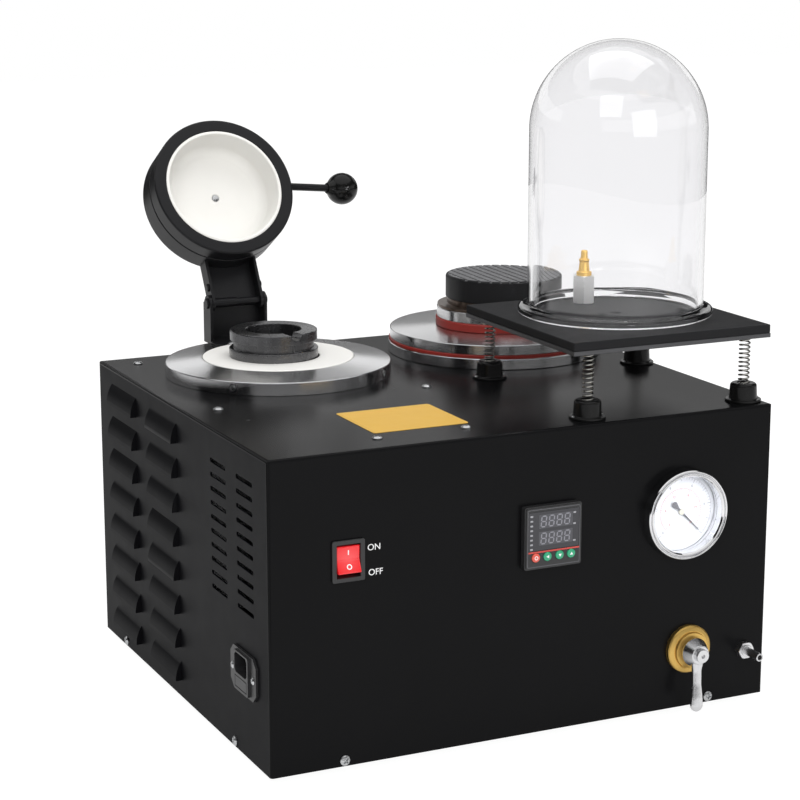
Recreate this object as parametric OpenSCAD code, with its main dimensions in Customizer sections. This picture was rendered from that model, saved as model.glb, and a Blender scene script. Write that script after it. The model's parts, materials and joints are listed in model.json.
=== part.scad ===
// Jewellery vacuum casting machine: a melting furnace with a hinged lid, a vacuum casting chamber and
// a sprung vacuum table with a bell jar, all on one sheet-steel casing.
// Millimetres, +Z up, +X to the right, front panel towards -Y. The origin is on the surface that the
// machine stands on, under the middle of the casing.

/* [Casing] */
// Width of the casing, left to right
case_w = 420; // [412:1:450]
// Depth of the casing, front to back
case_d = 378; // [372:1:410]
// Height of the casing above its feet
case_h = 235; // [225:1:270]
// Thickness of the casing's sheet steel
sheet = 1.5; // [1:0.1:2]
// Outer radius of the casing's folds
fold_r = 2.5; // [2.4:0.1:4]
// Height of the base tray's folded rim
tray_rim = 12; // [10:1:20]
// Height of the rubber feet
foot_h = 8; // [5:1:15]
// Radius of the rubber feet
foot_r = 14; // [10:0.5:18]
// Distance from the casing's sides to the middle of a foot
foot_inset = 34; // [25:1:50]

/* [Side vents] */
// Louvres in each column
louvre_rows = 8; // [4:1:8]
// Distance from the casing's lower edge to the lowest louvre
louvre_low = 13.5; // [12:0.5:24]
// Length of a louvre
louvre_l = 61; // [40:1:70]
// Height of a louvre
louvre_h = 16; // [10:0.5:18]
// How far a louvre stands out
louvre_out = 5; // [3:0.5:6]
// Slots in each column
slot_rows = 10; // [4:1:10]
// Distance between slots
slot_pitch = 10.8; // [8:0.2:11]
// Length of a slot
slot_l = 32; // [20:1:36]
// Width of a slot
slot_w = 3.5; // [2:0.5:5]

/* [Furnace] */
// Distance from the casing's left side to the deck ring
furnace_edge = 27.4; // [25:0.2:31]
// Gap between the deck ring and the chamber's base flange, left to right
rings_apart = 21.4; // [18:0.2:24]
// Distance from the casing's back to the furnace axis
furnace_back = 106; // [104:1:112]
// Height of the deck ring's upright band
ring_band_h = 10.5; // [10:0.5:12]
// Height of the deck ring at its inner edge
ring_h = 13.5; // [12.5:0.5:16]
// Radius of the ceramic disc
disc_r = 62; // [58:0.5:64]
// How far the ceramic disc stands above the ring's inner edge
disc_proud = 0.5; // [0.3:0.1:1.5]
// Bore radius of the ceramic disc
disc_bore_r = 34; // [33.5:0.1:35]
// How much the furnace drum is smaller, on radius, than the deck ring
drum_room = 7.6; // [5:0.2:12]
// Depth of the furnace drum below the deck
drum_depth = 177; // [170:1:180]
// Thickness of the drum's steel
drum_t = 1.2; // [0.8:0.1:2]
// Thickness of the insulation under the muffle
insulation_floor = 25; // [15:1:30]
// Outer radius of the ceramic muffle
muffle_r = 46; // [44:0.5:48]
// Wall of the ceramic muffle
muffle_t = 6; // [4:0.5:7]
// Wire radius of the heating coil
coil_wire_r = 1.2; // [0.8:0.1:1.4]
// Turns of the heating coil
coil_turns = 7; // [4:1:8]
// Distance between turns of the heating coil
coil_pitch = 16; // [12:0.5:17]

/* [Crucible] */
// Radius of the crucible's lower flange
crucible_flange_r = 36.5; // [35.5:0.1:38]
// Radius of the crucible's upper flange
crucible_rim_r = 35.8; // [35:0.1:37]
// Radius of the groove between the flanges
crucible_neck_r = 33; // [31:0.1:34]
// Radius of the crucible's body below the flanges
crucible_body_r = 29.5; // [27:0.1:30]
// Bore radius of the crucible
crucible_bore_r = 22.6; // [18:0.1:24]
// Thickness of the lower flange
crucible_flange_h = 7.4; // [6:0.1:9]
// Height of the groove
crucible_neck_h = 6.4; // [5:0.1:8]
// Thickness of the upper flange
crucible_rim_h = 8.4; // [7:0.1:10]
// Length of the crucible's body below the flanges
crucible_body_l = 109; // [90:1:118]
// Thickness of the crucible's floor
crucible_floor = 10; // [6:1:14]

/* [Furnace lid] */
// Angle that the lid opens through
lid_open = 120; // [100:1:125]
// Outer radius of the lid
lid_r = 62; // [60:0.5:63]
// Depth of the lid, rim to back
lid_depth = 38.5; // [36:0.5:40]
// Radius of the lining's opening
lining_r = 51; // [48:0.5:53]
// Depth of the lining's bowl
bowl_depth = 26; // [20:0.5:27]
// How far the hinge axis lies behind the deck ring's back edge
hinge_over = 1.9; // [1.4:0.1:4.4]
// Height of the hinge axis above the deck
hinge_up = 43.4; // [43:0.2:46]
// Height of the underside of the arm's web above the hinge axis
web_low = 4; // [3.6:0.1:4.4]
// Radius of the hinge pin
pin_r = 3; // [2.5:0.1:3.4]
// Thickness of the bracket's and the arm's plate
arm_t = 2.5; // [2:0.1:3]
// Outer width of the hinge bracket
bracket_w = 52; // [46:1:56]
// Length of the handle rod, lid to ball
handle_l = 57; // [50:1:62]
// Gap between the closed lid's ball and the adapter plate under it
knob_gap = 1.5; // [1:0.1:4]
// Radius of the handle rod
handle_r = 3.2; // [2.5:0.1:4]
// Radius of the ball knob
knob_r = 14; // [11:0.5:15]

/* [Casting chamber] */
// Distance from the casing's right side to the chamber's base flange
chamber_edge = 2; // [1:0.2:4]
// Distance from the casing's back to the chamber axis
chamber_back = 96; // [94:1:97]
// Height of the base flange
base_h = 9.2; // [8:0.2:10]
// Thickness of the thin gasket
seal_thin = 2.6; // [2:0.1:3]
// Height of the adapter plate's upright band
plate_band_h = 8.5; // [7:0.1:9]
// Height of the adapter plate
plate_h = 10.5; // [9.5:0.1:11]
// Radius of the thick gasket
seal_r = 51; // [50:0.5:52]
// Thickness of the thick gasket
seal_thick = 7.3; // [6:0.1:8]
// Height of the small chrome ring
small_ring_h = 9; // [8:0.2:10]
// Height of the stepped ring
step_ring_h = 7.4; // [6:0.2:9]
// Radius of the black cap
cap_r = 47; // [44:0.5:48]
// Height of the black cap
cap_h = 19.5; // [16:0.5:22]
// Bore radius through the rings
throat_r = 42; // [38:0.5:43]
// Radius of the chamber cup inside the casing
cup_r = 60; // [57:0.5:62]
// Wall of the chamber cup
cup_t = 2; // [1.5:0.1:3]
// Depth of the chamber cup below the deck
cup_depth = 170; // [150:1:185]

/* [Vacuum table] */
// Distance from the casing's right side to the middle of the table
table_right = 84; // [83:1:86]
// Distance from the casing's front to the table's front edge
table_front = 10; // [9:1:12]
// Width of the table
table_w = 174; // [168:1:176]
// Gap between the table's back edge and the chamber's base flange
table_gap = 4; // [3:0.5:8]
// Height of the table's top above the deck
table_up = 60; // [56:1:66]
// Thickness of the steel table plate
plate_t = 3.4; // [3:0.1:4]
// Thickness of the rubber mat
mat_t = 6.6; // [5:0.1:8]
// Radius of the suction hole
suction_r = 4.35; // [3:0.05:5]
// Distance from the table's middle to a spring, left and right
spring_x = 69.5; // [66:0.5:69.5]
// Distance from the table's front or back edge to a spring
spring_edge = 9; // [8.5:0.5:12]
// Height of a spring's cup foot
cup_foot_h = 14.5; // [12:0.5:17]
// Outer radius of a cup foot
cup_foot_r = 10.8; // [9:0.2:11]
// Radius of a cup foot's flange
cup_flange_r = 14; // [13.9:0.1:14.4]
// Radius of a spring, to the middle of its wire
spring_r = 3.85; // [3.5:0.05:4.2]
// Radius of the spring wire
spring_wire_r = 0.7; // [0.5:0.05:0.8]
// Curls of a spring
spring_curls = 11; // [8:1:12]
// Outer radius of the bell jar's wall
jar_r = 69.5; // [66:0.5:70]
// Radius of the bell jar's flange
jar_flange_r = 77; // [74:0.5:77]
// Thickness of the bell jar's flange
jar_flange_h = 6; // [5:0.5:8]
// Wall of the bell jar
jar_t = 4; // [3:0.25:5]
// Height of the middle of the jar's dome above the table
jar_dome_up = 145; // [120:1:160]
// Width across flats of the release fitting
fitting_af = 17; // [14:0.5:19]
// Height of the release fitting's hexagon
fitting_h = 22.5; // [18:0.5:26]

/* [Front panel] */
// Distance from the casing's left side to the switch
switch_left = 61; // [50:1:70]
// Distance from the deck down to the switch
switch_down = 79.5; // [70:0.5:100]
// Width of the switch frame
switch_w = 25.5; // [24:0.5:28]
// Height of the switch frame
switch_h = 31; // [29:0.5:34]
// Angle that the rocker turns through
rocker_throw = 20; // [14:1:22]
// Distance from the casing's middle to the controller
controller_x = 15; // [0:1:30]
// Distance from the deck down to the controller
controller_down = 80.5; // [70:0.5:100]
// Width and height of the controller's face
controller_w = 48; // [48:0.5:50]
// How far the controller stands out
controller_out = 6.5; // [6:0.5:8]
// Depth of the controller's case behind the panel
controller_depth = 80; // [60:1:100]
// Travel of a controller button
button_travel = 0.8; // [0.5:0.1:1]
// Distance from the casing's right side to the gauge
gauge_right = 79.5; // [75:0.5:85]
// Distance from the deck down to the gauge
gauge_down = 77.5; // [70:0.5:90]
// Outer radius of the gauge's bezel
gauge_r = 35; // [33:0.5:37]
// Distance from the casing's right side to the valve
valve_right = 71.5; // [70:0.5:75]
// Height of the valve axis above the casing's floor
valve_up = 47.5; // [47:0.5:55]
// Radius of the valve's brass flange
valve_flange_r = 19; // [17:0.5:20]
// Length of the valve lever
lever_l = 45; // [38:0.5:45]
// Distance from the casing's right side to the pump nipple
nipple_right = 19.5; // [18:0.5:20]
// Height of the pump nipple above the casing's floor
nipple_up = 39; // [36:0.5:42]
// Outer radius of the pump nipple
nipple_r = 3.2; // [3:0.05:3.6]
// Bore radius of the pump nipple
nipple_bore_r = 1.9; // [1.5:0.05:2.2]
// How far the pump nipple stands out
nipple_out = 24; // [20:0.5:28]

/* [Mains inlet] */
// Distance from the casing's front to the inlet
inlet_front = 47; // [44:1:60]
// Height of the inlet above the casing's floor
inlet_up = 65.5; // [50:0.5:80]
// Length of the inlet's flange
inlet_w = 50; // [48:0.5:52]
// Height of the inlet's flange
inlet_h = 33; // [32:0.5:36]

/* [Fits] */
// Running clearance, on radius, of pins and stems
run_gap = 0.05; // [0.02:0.01:0.08]
// Clearance round parts that drop into a seat
seat_gap = 0.3; // [0.2:0.05:0.4]
// Clearance round parts that pass through a panel
pass_gap = 0.8; // [0.5:0.1:1]

/* [Hidden] */
$fn = 64;
eps = 0.01;
top_z = foot_h + case_h;
louvre_down = 13;                   // from the deck to the top of the highest louvre
louvre_pitch = (case_h - louvre_down - louvre_h - louvre_low) / (louvre_rows - 1);
left_x = -case_w / 2;
right_x = case_w / 2;
front_y = -case_d / 2;
back_y = case_d / 2;

// the deck ring and the base flange, a little smaller, share the casing's width
base_r = (case_w - furnace_edge - rings_apart - chamber_edge) / 4 - 0.3;
ring_r = base_r + 0.6;
furnace_x = left_x + furnace_edge + ring_r;
furnace_y = back_y - furnace_back;
ledge_h = 2.5;                      // step in the deck ring that carries the ceramic disc
ledge_r = disc_r - 8;
disc_top = ring_h + disc_proud;     // top of the disc above the deck
crucible_shift = [-3.2, 1.5];       // the crucible stands a little off the furnace axis
crucible_h = crucible_flange_h + crucible_neck_h + crucible_rim_h;
notch_turn = -80;                   // direction of the pouring notch
drum_r = ring_r - drum_room;
drum_floor_z = top_z - drum_depth;
muffle_floor_z = drum_floor_z + drum_t + insulation_floor;
coil_z = muffle_floor_z + 22;       // start of the heating coil
coil_r = muffle_r + coil_wire_r + 0.6;
insulation_bore_r = coil_r + coil_wire_r + 0.8;
probe_r = 3;
probe_z = coil_z + coil_pitch;      // half-way between two turns on the left side

hinge_back = ring_r + hinge_over;
hinge_y = furnace_y + hinge_back;
hinge_z = top_z + hinge_up;
lid_z = top_z + disc_top + seat_gap;
seat_h = 9;                         // milled flat in the deck ring under the bracket
cheek_r = 7;                        // rounding of the cheeks about the hinge pin
arm_w = bracket_w - 2 * arm_t - 2 * seat_gap;
web_back = cheek_r + seat_gap;
rivet_at = [-13.4, -2];             // the arm's rivets, from the hinge axis
// the open arm's web leans on the top edge of the bracket's web
web_top = (web_low + arm_t - web_back * sin(lid_open)) / cos(lid_open) - seat_gap;
handle_h = 9.5;                     // height of the rod's root above the rim
bolt_r = 3;

chamber_x = right_x - chamber_edge - base_r;
chamber_y = back_y - chamber_back;
seal_z = top_z + base_h;
plate_z = seal_z + seal_thin;
thick_z = plate_z + plate_h;
small_ring_z = thick_z + seal_thick;
step_ring_z = small_ring_z + small_ring_h;
cap_z = step_ring_z + step_ring_h;
flange_bore_r = cup_r - cup_t - 3;
cup_floor_z = top_z - cup_depth;
// the rod rises until the closed lid's ball clears the adapter plate
handle_tilt = asin((plate_z + plate_band_h + knob_gap + knob_r - lid_z - handle_h) / handle_l);
cap_shift = 5;                      // the cap lies a little to the right of the rings

table_d = case_d - table_front - chamber_back - base_r - table_gap;
table_x = right_x - table_right;
table_y = front_y + table_front + table_d / 2;
table_z = top_z + table_up;
under_z = table_z - mat_t - plate_t;
spring_y = table_d / 2 - spring_edge;
spring_seat = 3;                    // depth of the spring's seat in its foot
spring_low = top_z + cup_foot_h - spring_seat;
jar_x = table_x + 5;
jar_y = table_y + 9;
suction_y = jar_y - 2;
fitting_y = jar_y + 50;
stud_r = 5;

switch_x = left_x + switch_left;
switch_z = top_z - switch_down;
rocker_r = 12;
controller_z = top_z - controller_down;
body_w = 44.5;                      // the controller's case behind the panel
button_r = 3.4;
button_xs = [-15, -5.25, 5, 14.75];
button_drop = -14.7;
gauge_x = right_x - gauge_right;
gauge_z = top_z - gauge_down;
dial_r = gauge_r - 4.6;
gauge_back = 28;                    // depth of the gauge's case behind the panel
shaft_r = 0.75;
valve_x = right_x - valve_right;
valve_z = foot_h + valve_up;
valve_len = 60;
stem_r = 6;
nipple_x = right_x - nipple_right;
nipple_z = foot_h + nipple_up;
pipe_r = 4;
bend_r = 12;
port_y = front_y + 35;              // pump port of the valve
nipple_back = port_y - front_y - bend_r;
gauge_port_y = front_y + gauge_back + bend_r;
chamber_port_y = front_y + 51;
valve_port_l = 24;
cup_port_l = 8;
chamber_pipe_x = valve_x + 5;
chamber_pipe_z = cup_floor_z + 37;
inlet_y = front_y + inlet_front;
inlet_z = foot_h + inlet_up;
inlet_cut_z = -2.5;                 // the mains cavity starts here, below it lies the fuse drawer
screw_r = 1.5;
relay_w = 45;
relay_l = 58;
relay_h = 20;
relay_base = 4;                     // thickness of the relay's metal base

// ---------- shared shapes ----------

// Rectangle with round corners, centred
module rounded_rect(w, h, r) {
    square([w - 2 * r, h], center = true);
    square([w, h - 2 * r], center = true);
    for (sx = [-1, 1], sy = [-1, 1]) translate([sx * (w / 2 - r), sy * (h / 2 - r)]) circle(r);
}

// Rectangle with cut corners, centred
module cut_rect(w, h, c) {
    polygon([[-w / 2 + c, -h / 2], [w / 2 - c, -h / 2], [w / 2, -h / 2 + c], [w / 2, h / 2 - c],
             [w / 2 - c, h / 2], [-w / 2 + c, h / 2], [-w / 2, h / 2 - c], [-w / 2, -h / 2 + c]]);
}

module tube(r, bore, h) {
    difference() {
        cylinder(r = r, h = h);
        translate([0, 0, -1]) cylinder(r = bore, h = h + 2);
    }
}

// Local +Z points out of the front panel, local +Y is up
module on_front(x, z) {
    translate([x, front_y, z]) rotate([90, 0, 0]) children();
}

module at_furnace(z) {
    translate([furnace_x, furnace_y, z]) children();
}

module at_chamber(z) {
    translate([chamber_x, chamber_y, z]) children();
}

// Domed screw with a cross recess: the head sits on z = 0
module pan_screw(head_r, shank_l) {
    head_h = head_r * 0.55;
    difference() {
        intersection() {
            translate([0, 0, head_h - head_r * 1.4]) sphere(r = head_r * 1.4);
            cylinder(r = head_r, h = head_h);
        }
        for (turn = [0, 90])
            rotate(turn) translate([-head_r * 0.55, -head_r * 0.11, head_h * 0.5])
                cube([head_r * 1.1, head_r * 0.22, head_h]);
    }
    translate([0, 0, -shank_l]) cylinder(r = screw_r, h = shank_l + eps);
}

// Points of a round wire along a helix: rings of points, six to a ring
function helix_points(r, wire_r, pitch, turns, rings) = [
    for (i = [0 : turns * rings])
        let (a = 360 * i / rings,
             out = [cos(a), sin(a), 0],
             rise = pitch / 360 * 180 / PI / r,
             ahead = [-sin(a), cos(a), rise] / sqrt(1 + rise * rise),
             side = cross(ahead, out),
             mid = r * out + [0, 0, pitch * i / rings])
        for (s = [0 : 5]) mid + wire_r * (cos(60 * s) * out + sin(60 * s) * side)
];

// Triangles of the same wire, closed at both ends
function helix_faces(count) = concat(
    [for (i = [0 : count - 1], s = [0 : 5]) [6 * i + s, 6 * (i + 1) + s, 6 * (i + 1) + (s + 1) % 6]],
    [for (i = [0 : count - 1], s = [0 : 5]) [6 * i + s, 6 * (i + 1) + (s + 1) % 6, 6 * i + (s + 1) % 6]],
    [for (s = [1 : 4]) [0, s, s + 1]],
    [for (s = [1 : 4]) [6 * count, 6 * count + s + 1, 6 * count + s]]
);

module helix(r, wire_r, pitch, turns, rings) {
    polyhedron(points = helix_points(r, wire_r, pitch, turns, rings), faces = helix_faces(turns * rings));
}

// Least distance between the points of one turn and those of the next
function self_gap(r, wire_r, pitch, rings) =
    let (p = helix_points(r, wire_r, pitch, 2, rings))
    min([for (i = [0 : 6 * rings - 1], j = [6 * rings : 12 * rings + 5])
        if (j - i > 3 * rings) norm(p[i] - p[j])]);

spring_pitch = (under_z - spring_low - 2 * spring_wire_r) / spring_curls;
echo(str("least gap of a table spring to itself: ", self_gap(spring_r, spring_wire_r, spring_pitch, 8)));
echo(str("least gap of the heating coil to itself: ", self_gap(coil_r, coil_wire_r, coil_pitch, 24)));

// ---------- casing ----------

module case_block() {
    intersection() {
        translate([0, 0, foot_h]) linear_extrude(case_h) rounded_rect(case_w, case_d, fold_r);
        translate([left_x - 1, 0, foot_h]) rotate([90, 0, 90]) linear_extrude(case_w + 2)
            rounded_rect(case_d, 2 * case_h, fold_r);
        translate([0, back_y + 1, foot_h]) rotate([90, 0, 0]) linear_extrude(case_d + 2)
            rounded_rect(case_w, 2 * case_h, fold_r);
    }
}

// Places on the deck where it is screwed to the frames inside
deck_screws = [
    [left_x + 26, back_y - 26], [left_x + 26, furnace_y - 109], [furnace_x + 85, furnace_y - 104],
    [switch_x + 36, front_y + 28], [controller_x - 55, front_y + 30]
];
low_screw_z = foot_h + 4.5;
front_screws = [left_x + 58, right_x - 51];
side_screws = [front_y + 70, back_y - 56];

module casing_hood() color("#1d1d20") {
    difference() {
        case_block();
        translate([left_x + sheet, front_y + sheet, 0]) cube([case_w - 2 * sheet, case_d - 2 * sheet, top_z - sheet]);
        for (side = [-1, 1])
            translate([side * right_x - 2 * sheet, front_y + fold_r, 0])
                cube([4 * sheet, case_d - 2 * fold_r, top_z - fold_r]);
        at_furnace(top_z - 2 * sheet) cylinder(r = drum_r + pass_gap, h = 3 * sheet);
        at_chamber(top_z - 2 * sheet) cylinder(r = cup_r + pass_gap, h = 3 * sheet);
        on_front(switch_x, switch_z) translate([0, 0, -2 * sheet]) linear_extrude(3 * sheet)
            square([switch_w - 3, switch_h - 3], center = true);
        on_front(controller_x, controller_z) translate([0, 0, -2 * sheet]) linear_extrude(3 * sheet)
            square(body_w + pass_gap, center = true);
        on_front(gauge_x, gauge_z) translate([0, 0, -2 * sheet]) cylinder(r = gauge_r - 3 + pass_gap / 2, h = 3 * sheet);
        on_front(valve_x, valve_z) translate([0, 0, -2 * sheet]) cylinder(r = 14.5 + pass_gap / 2, h = 3 * sheet);
        on_front(nipple_x, nipple_z) translate([0, 0, -2 * sheet]) cylinder(r = nipple_r + seat_gap, h = 3 * sheet);
        for (p = deck_screws) translate([p[0], p[1], top_z - 2 * sheet]) cylinder(r = screw_r + 0.2, h = 3 * sheet);
        for (x = front_screws) on_front(x, low_screw_z) translate([0, 0, -2 * sheet])
            cylinder(r = screw_r + 0.2, h = 3 * sheet);
        for (x = front_screws) translate([x, back_y - 2 * sheet, low_screw_z]) rotate([-90, 0, 0])
            cylinder(r = screw_r + 0.2, h = 3 * sheet);
    }
}

// One louvre pressed outwards (+X of this frame) and open below; y is its length
module louvre() {
    arc_r = (louvre_out * louvre_out + louvre_h * louvre_h) / (2 * louvre_out);
    difference() {
        intersection() {
            translate([louvre_out - arc_r, louvre_l / 2, 0]) rotate([90, 0, 0]) cylinder(r = arc_r, h = louvre_l);
            translate([0, -louvre_l / 2 - 1, 0]) cube([louvre_out + 1, louvre_l + 2, louvre_h + 1]);
        }
        intersection() {
            translate([louvre_out - arc_r, louvre_l / 2 - sheet, 0]) rotate([90, 0, 0])
                cylinder(r = arc_r - sheet, h = louvre_l - 2 * sheet);
            translate([-1, -louvre_l / 2, -1]) cube([louvre_out + 2, louvre_l, louvre_h + 1]);
        }
    }
}

louvre_ys = [back_y - 65, back_y - 161];
slot_ys = [front_y + 97, front_y + 44.5];

// Side panel seen from outside, +X of this frame outwards and y running to the machine's back
module vented_panel(cut_inlet) {
    window_h = louvre_h * 0.6;
    difference() {
        translate([-sheet, front_y + fold_r, foot_h]) cube([sheet, case_d - 2 * fold_r, case_h - fold_r]);
        for (y = louvre_ys, row = [0 : louvre_rows - 1])
            translate([-2 * sheet, y - louvre_l / 2 + sheet, top_z - louvre_down - louvre_h - row * louvre_pitch])
                cube([3 * sheet, louvre_l - 2 * sheet, window_h]);
        for (y = slot_ys, row = [0 : slot_rows - 1])
            translate([-2 * sheet, y, top_z - 24.6 - row * slot_pitch]) rotate([90, 0, 90])
                linear_extrude(3 * sheet) rounded_rect(slot_l, slot_w, slot_w / 2 - eps);
        for (y = side_screws)
            translate([-2 * sheet, y, low_screw_z]) rotate([0, 90, 0]) cylinder(r = screw_r + 0.2, h = 3 * sheet);
        if (cut_inlet)
            translate([-2 * sheet, inlet_y, inlet_z]) rotate([90, 0, 90]) linear_extrude(3 * sheet)
                square([28 + seat_gap, inlet_h - 3], center = true);
        if (cut_inlet)
            for (side = [-1, 1]) translate([-2 * sheet, inlet_y + side * 20, inlet_z]) rotate([0, 90, 0])
                cylinder(r = screw_r + 0.2, h = 3 * sheet);
    }
    for (y = louvre_ys, row = [0 : louvre_rows - 1])
        translate([-eps, y, top_z - louvre_down - louvre_h - row * louvre_pitch]) louvre();
}

module left_side_panel() color("#1d1d20") {
    mirror([1, 0, 0]) translate([right_x, 0, 0]) vented_panel(true);
}

module right_side_panel() color("#1d1d20") {
    translate([right_x, 0, 0]) vented_panel(false);
}

module base_tray() color("#26262a") {
    inner_w = case_w - 2 * sheet - 2 * seat_gap;
    inner_d = case_d - 2 * sheet - 2 * seat_gap;
    difference() {
        translate([-inner_w / 2, -inner_d / 2, foot_h]) cube([inner_w, inner_d, tray_rim]);
        translate([-inner_w / 2 + sheet, -inner_d / 2 + sheet, foot_h + sheet])
            cube([inner_w - 2 * sheet, inner_d - 2 * sheet, tray_rim]);
        for (x = front_screws, side = [-1, 1]) translate([x, side * inner_d / 2, low_screw_z]) rotate([90, 0, 0])
            cylinder(r = screw_r + 0.1, h = 4 * sheet, center = true);
        for (y = side_screws, side = [-1, 1]) translate([side * inner_w / 2, y, low_screw_z]) rotate([0, 90, 0])
            cylinder(r = screw_r + 0.1, h = 4 * sheet, center = true);
    }
}

module rubber_feet() color("#2a2a2a") {
    for (sx = [-1, 1], sy = [-1, 1])
        translate([sx * (case_w / 2 - foot_inset), sy * (case_d / 2 - foot_inset), 0]) difference() {
            cylinder(r1 = foot_r * 0.86, r2 = foot_r, h = foot_h);
            translate([0, 0, -1]) cylinder(r = foot_r * 0.35, h = foot_h * 0.5 + 1);
        }
}

module casing_screws() color("#b9bcc0") {
    shank = 2 * sheet + 1.5;
    for (p = deck_screws) translate([p[0], p[1], top_z]) pan_screw(3.2, shank);
    for (x = front_screws) on_front(x, low_screw_z) pan_screw(3.2, shank);
    for (x = front_screws) translate([x, back_y, low_screw_z]) rotate([-90, 0, 0]) pan_screw(3.2, shank);
    for (y = side_screws) translate([left_x, y, low_screw_z]) rotate([0, -90, 0]) pan_screw(3.2, shank);
    for (y = side_screws) translate([right_x, y, low_screw_z]) rotate([0, 90, 0]) pan_screw(3.2, shank);
    for (side = [-1, 1]) translate([left_x - 2, inlet_y + side * 20, inlet_z]) rotate([0, -90, 0])
        pan_screw(2.8, shank);
    at_springs(top_z + 2) for (side = [-1, 1]) translate([side * (cup_flange_r - 1.7), 0, 0]) {
        cylinder(r1 = 1.4, r2 = 0.9, h = 1.2);
        translate([0, 0, -1.8]) cylinder(r = 0.8, h = 2);
    }
}

// Solid-state relay that switches the heater, on the tray between the furnace and the chamber
module heater_relay() color("#d8d8d4") {
    translate([furnace_x + drum_r + 8, chamber_y - 33, foot_h + sheet]) {
        cube([relay_w, relay_l, relay_base]);
        translate([0, 6, relay_base - eps]) cube([relay_w, relay_l - 12, relay_h]);
        for (x = [12, relay_w - 12], y = [3, relay_l - 3])
            translate([x, y, relay_base - eps]) cylinder(r = 2.4, h = 5);
    }
}

// ---------- furnace ----------

module deck_ring() color("#d6d8da") {
    difference() {
        at_furnace(top_z) rotate_extrude($fn = 128) polygon([
            [ledge_r, 0], [ring_r, 0], [ring_r, ring_band_h - 0.8], [ring_r - 0.8, ring_band_h],
            [disc_r + seat_gap, ring_h], [disc_r + seat_gap, ledge_h], [ledge_r, ledge_h]
        ]);
        translate([furnace_x - bracket_w / 2 - seat_gap, furnace_y + disc_r + 2.7, top_z + seat_h])
            cube([bracket_w + 2 * seat_gap, ring_r, ring_h]);
        for (turn = [45 : 90 : 315]) at_furnace(top_z + ring_band_h / 2) rotate([0, 0, turn])
            translate([ring_r - 7, 0, 0]) rotate([0, 90, 0]) cylinder(r = 3, h = 10);
        for (side = [-1, 1]) translate([furnace_x + side * 13, furnace_y + disc_r + 11, top_z - 1])
            cylinder(r = screw_r + 0.1, h = ring_h);
    }
}

module ring_screws() color("#9a9da1") {
    for (turn = [45 : 90 : 315]) at_furnace(top_z + ring_band_h / 2) rotate([0, 0, turn])
        translate([ring_r - 6.5, 0, 0]) rotate([0, 90, 0]) difference() {
            cylinder(r = 2.9, h = 6.9);
            translate([0, 0, 4]) cylinder(r = 1.6, h = 4, $fn = 6);
        }
    for (side = [-1, 1]) translate([furnace_x + side * 13, furnace_y + disc_r + 11, top_z + seat_h + arm_t])
        pan_screw(3.2, 8);
}

module ceramic_disc() color("#f3f1ec") {
    at_furnace(top_z + ledge_h) rotate_extrude($fn = 128) polygon([
        [disc_bore_r, 0], [disc_r, 0], [disc_r, disc_top - ledge_h - 0.5],
        [disc_r - 0.5, disc_top - ledge_h], [disc_bore_r, disc_top - ledge_h]
    ]);
}

module furnace_drum() color("#8c8f93") {
    difference() {
        at_furnace(drum_floor_z) cylinder(r = drum_r, h = drum_depth);
        at_furnace(drum_floor_z + drum_t) cylinder(r = drum_r - drum_t, h = drum_depth);
        probe_hole();
    }
}

module probe_hole() {
    translate([furnace_x - drum_r - 5, furnace_y, probe_z]) rotate([0, 90, 0])
        cylinder(r = probe_r + seat_gap, h = drum_r - muffle_r + muffle_t + 15);
}

module insulation() color("#e6ddc9") {
    difference() {
        at_furnace(drum_floor_z + drum_t) cylinder(r = drum_r - drum_t - seat_gap, h = drum_depth - drum_t);
        at_furnace(muffle_floor_z) cylinder(r = insulation_bore_r, h = drum_depth);
        probe_hole();
    }
}

module muffle() color("#d9d2c4") {
    difference() {
        at_furnace(muffle_floor_z) cylinder(r = muffle_r, h = top_z + ledge_h - muffle_floor_z);
        at_furnace(muffle_floor_z + muffle_t) cylinder(r = muffle_r - muffle_t, h = drum_depth);
        probe_hole();
    }
}

module heating_coil() color("#a8743a") {
    at_furnace(coil_z) rotate(0) helix(coil_r, coil_wire_r, coil_pitch, coil_turns, 24);
}

module thermocouple() color("#c9c4ba") {
    reach = drum_r - muffle_r + muffle_t + 2;
    head_l = 18;
    translate([furnace_x - drum_r - 2, furnace_y, probe_z]) rotate([0, 90, 0])
        cylinder(r = probe_r, h = reach + 2);
    translate([furnace_x - drum_r - head_l, furnace_y, probe_z]) rotate([0, 90, 0])
        cylinder(r = 7, h = head_l - seat_gap);
}

module crucible() color("#3b3b3e") {
    body_low = -crucible_body_l;
    neck_z = crucible_flange_h;
    rim_z = neck_z + crucible_neck_h;
    at_furnace(top_z + disc_top) translate(crucible_shift) difference() {
        rotate_extrude($fn = 96) polygon([
            [0, body_low], [crucible_body_r - 3, body_low], [crucible_body_r, body_low + 3],
            [crucible_body_r, 0], [crucible_flange_r, 0], [crucible_flange_r, neck_z - 0.6],
            [crucible_flange_r - 0.6, neck_z], [crucible_neck_r, neck_z], [crucible_neck_r, rim_z],
            [crucible_rim_r, rim_z], [crucible_rim_r, crucible_h - 1], [crucible_rim_r - 1, crucible_h],
            [0, crucible_h]
        ]);
        translate([0, 0, body_low + crucible_floor]) cylinder(r = crucible_bore_r, h = crucible_body_l + crucible_h);
        rotate(notch_turn) translate([crucible_bore_r - 2, 0, crucible_h]) rotate([0, 90, 0])
            cylinder(r = 5, h = crucible_rim_r - crucible_bore_r - 2);
    }
}

// ---------- furnace lid, drawn closed and then thrown open ----------

module thrown_open() {
    translate([0, hinge_y, hinge_z]) rotate([-lid_open, 0, 0]) translate([0, -hinge_y, -hinge_z]) children();
}

// A plate's side outline, x running to the machine's back and y up from the hinge axis, w wide
module across_hinge(w) {
    translate([furnace_x - w / 2, hinge_y, hinge_z]) rotate([90, 0, 90]) linear_extrude(w) children();
}

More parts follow.
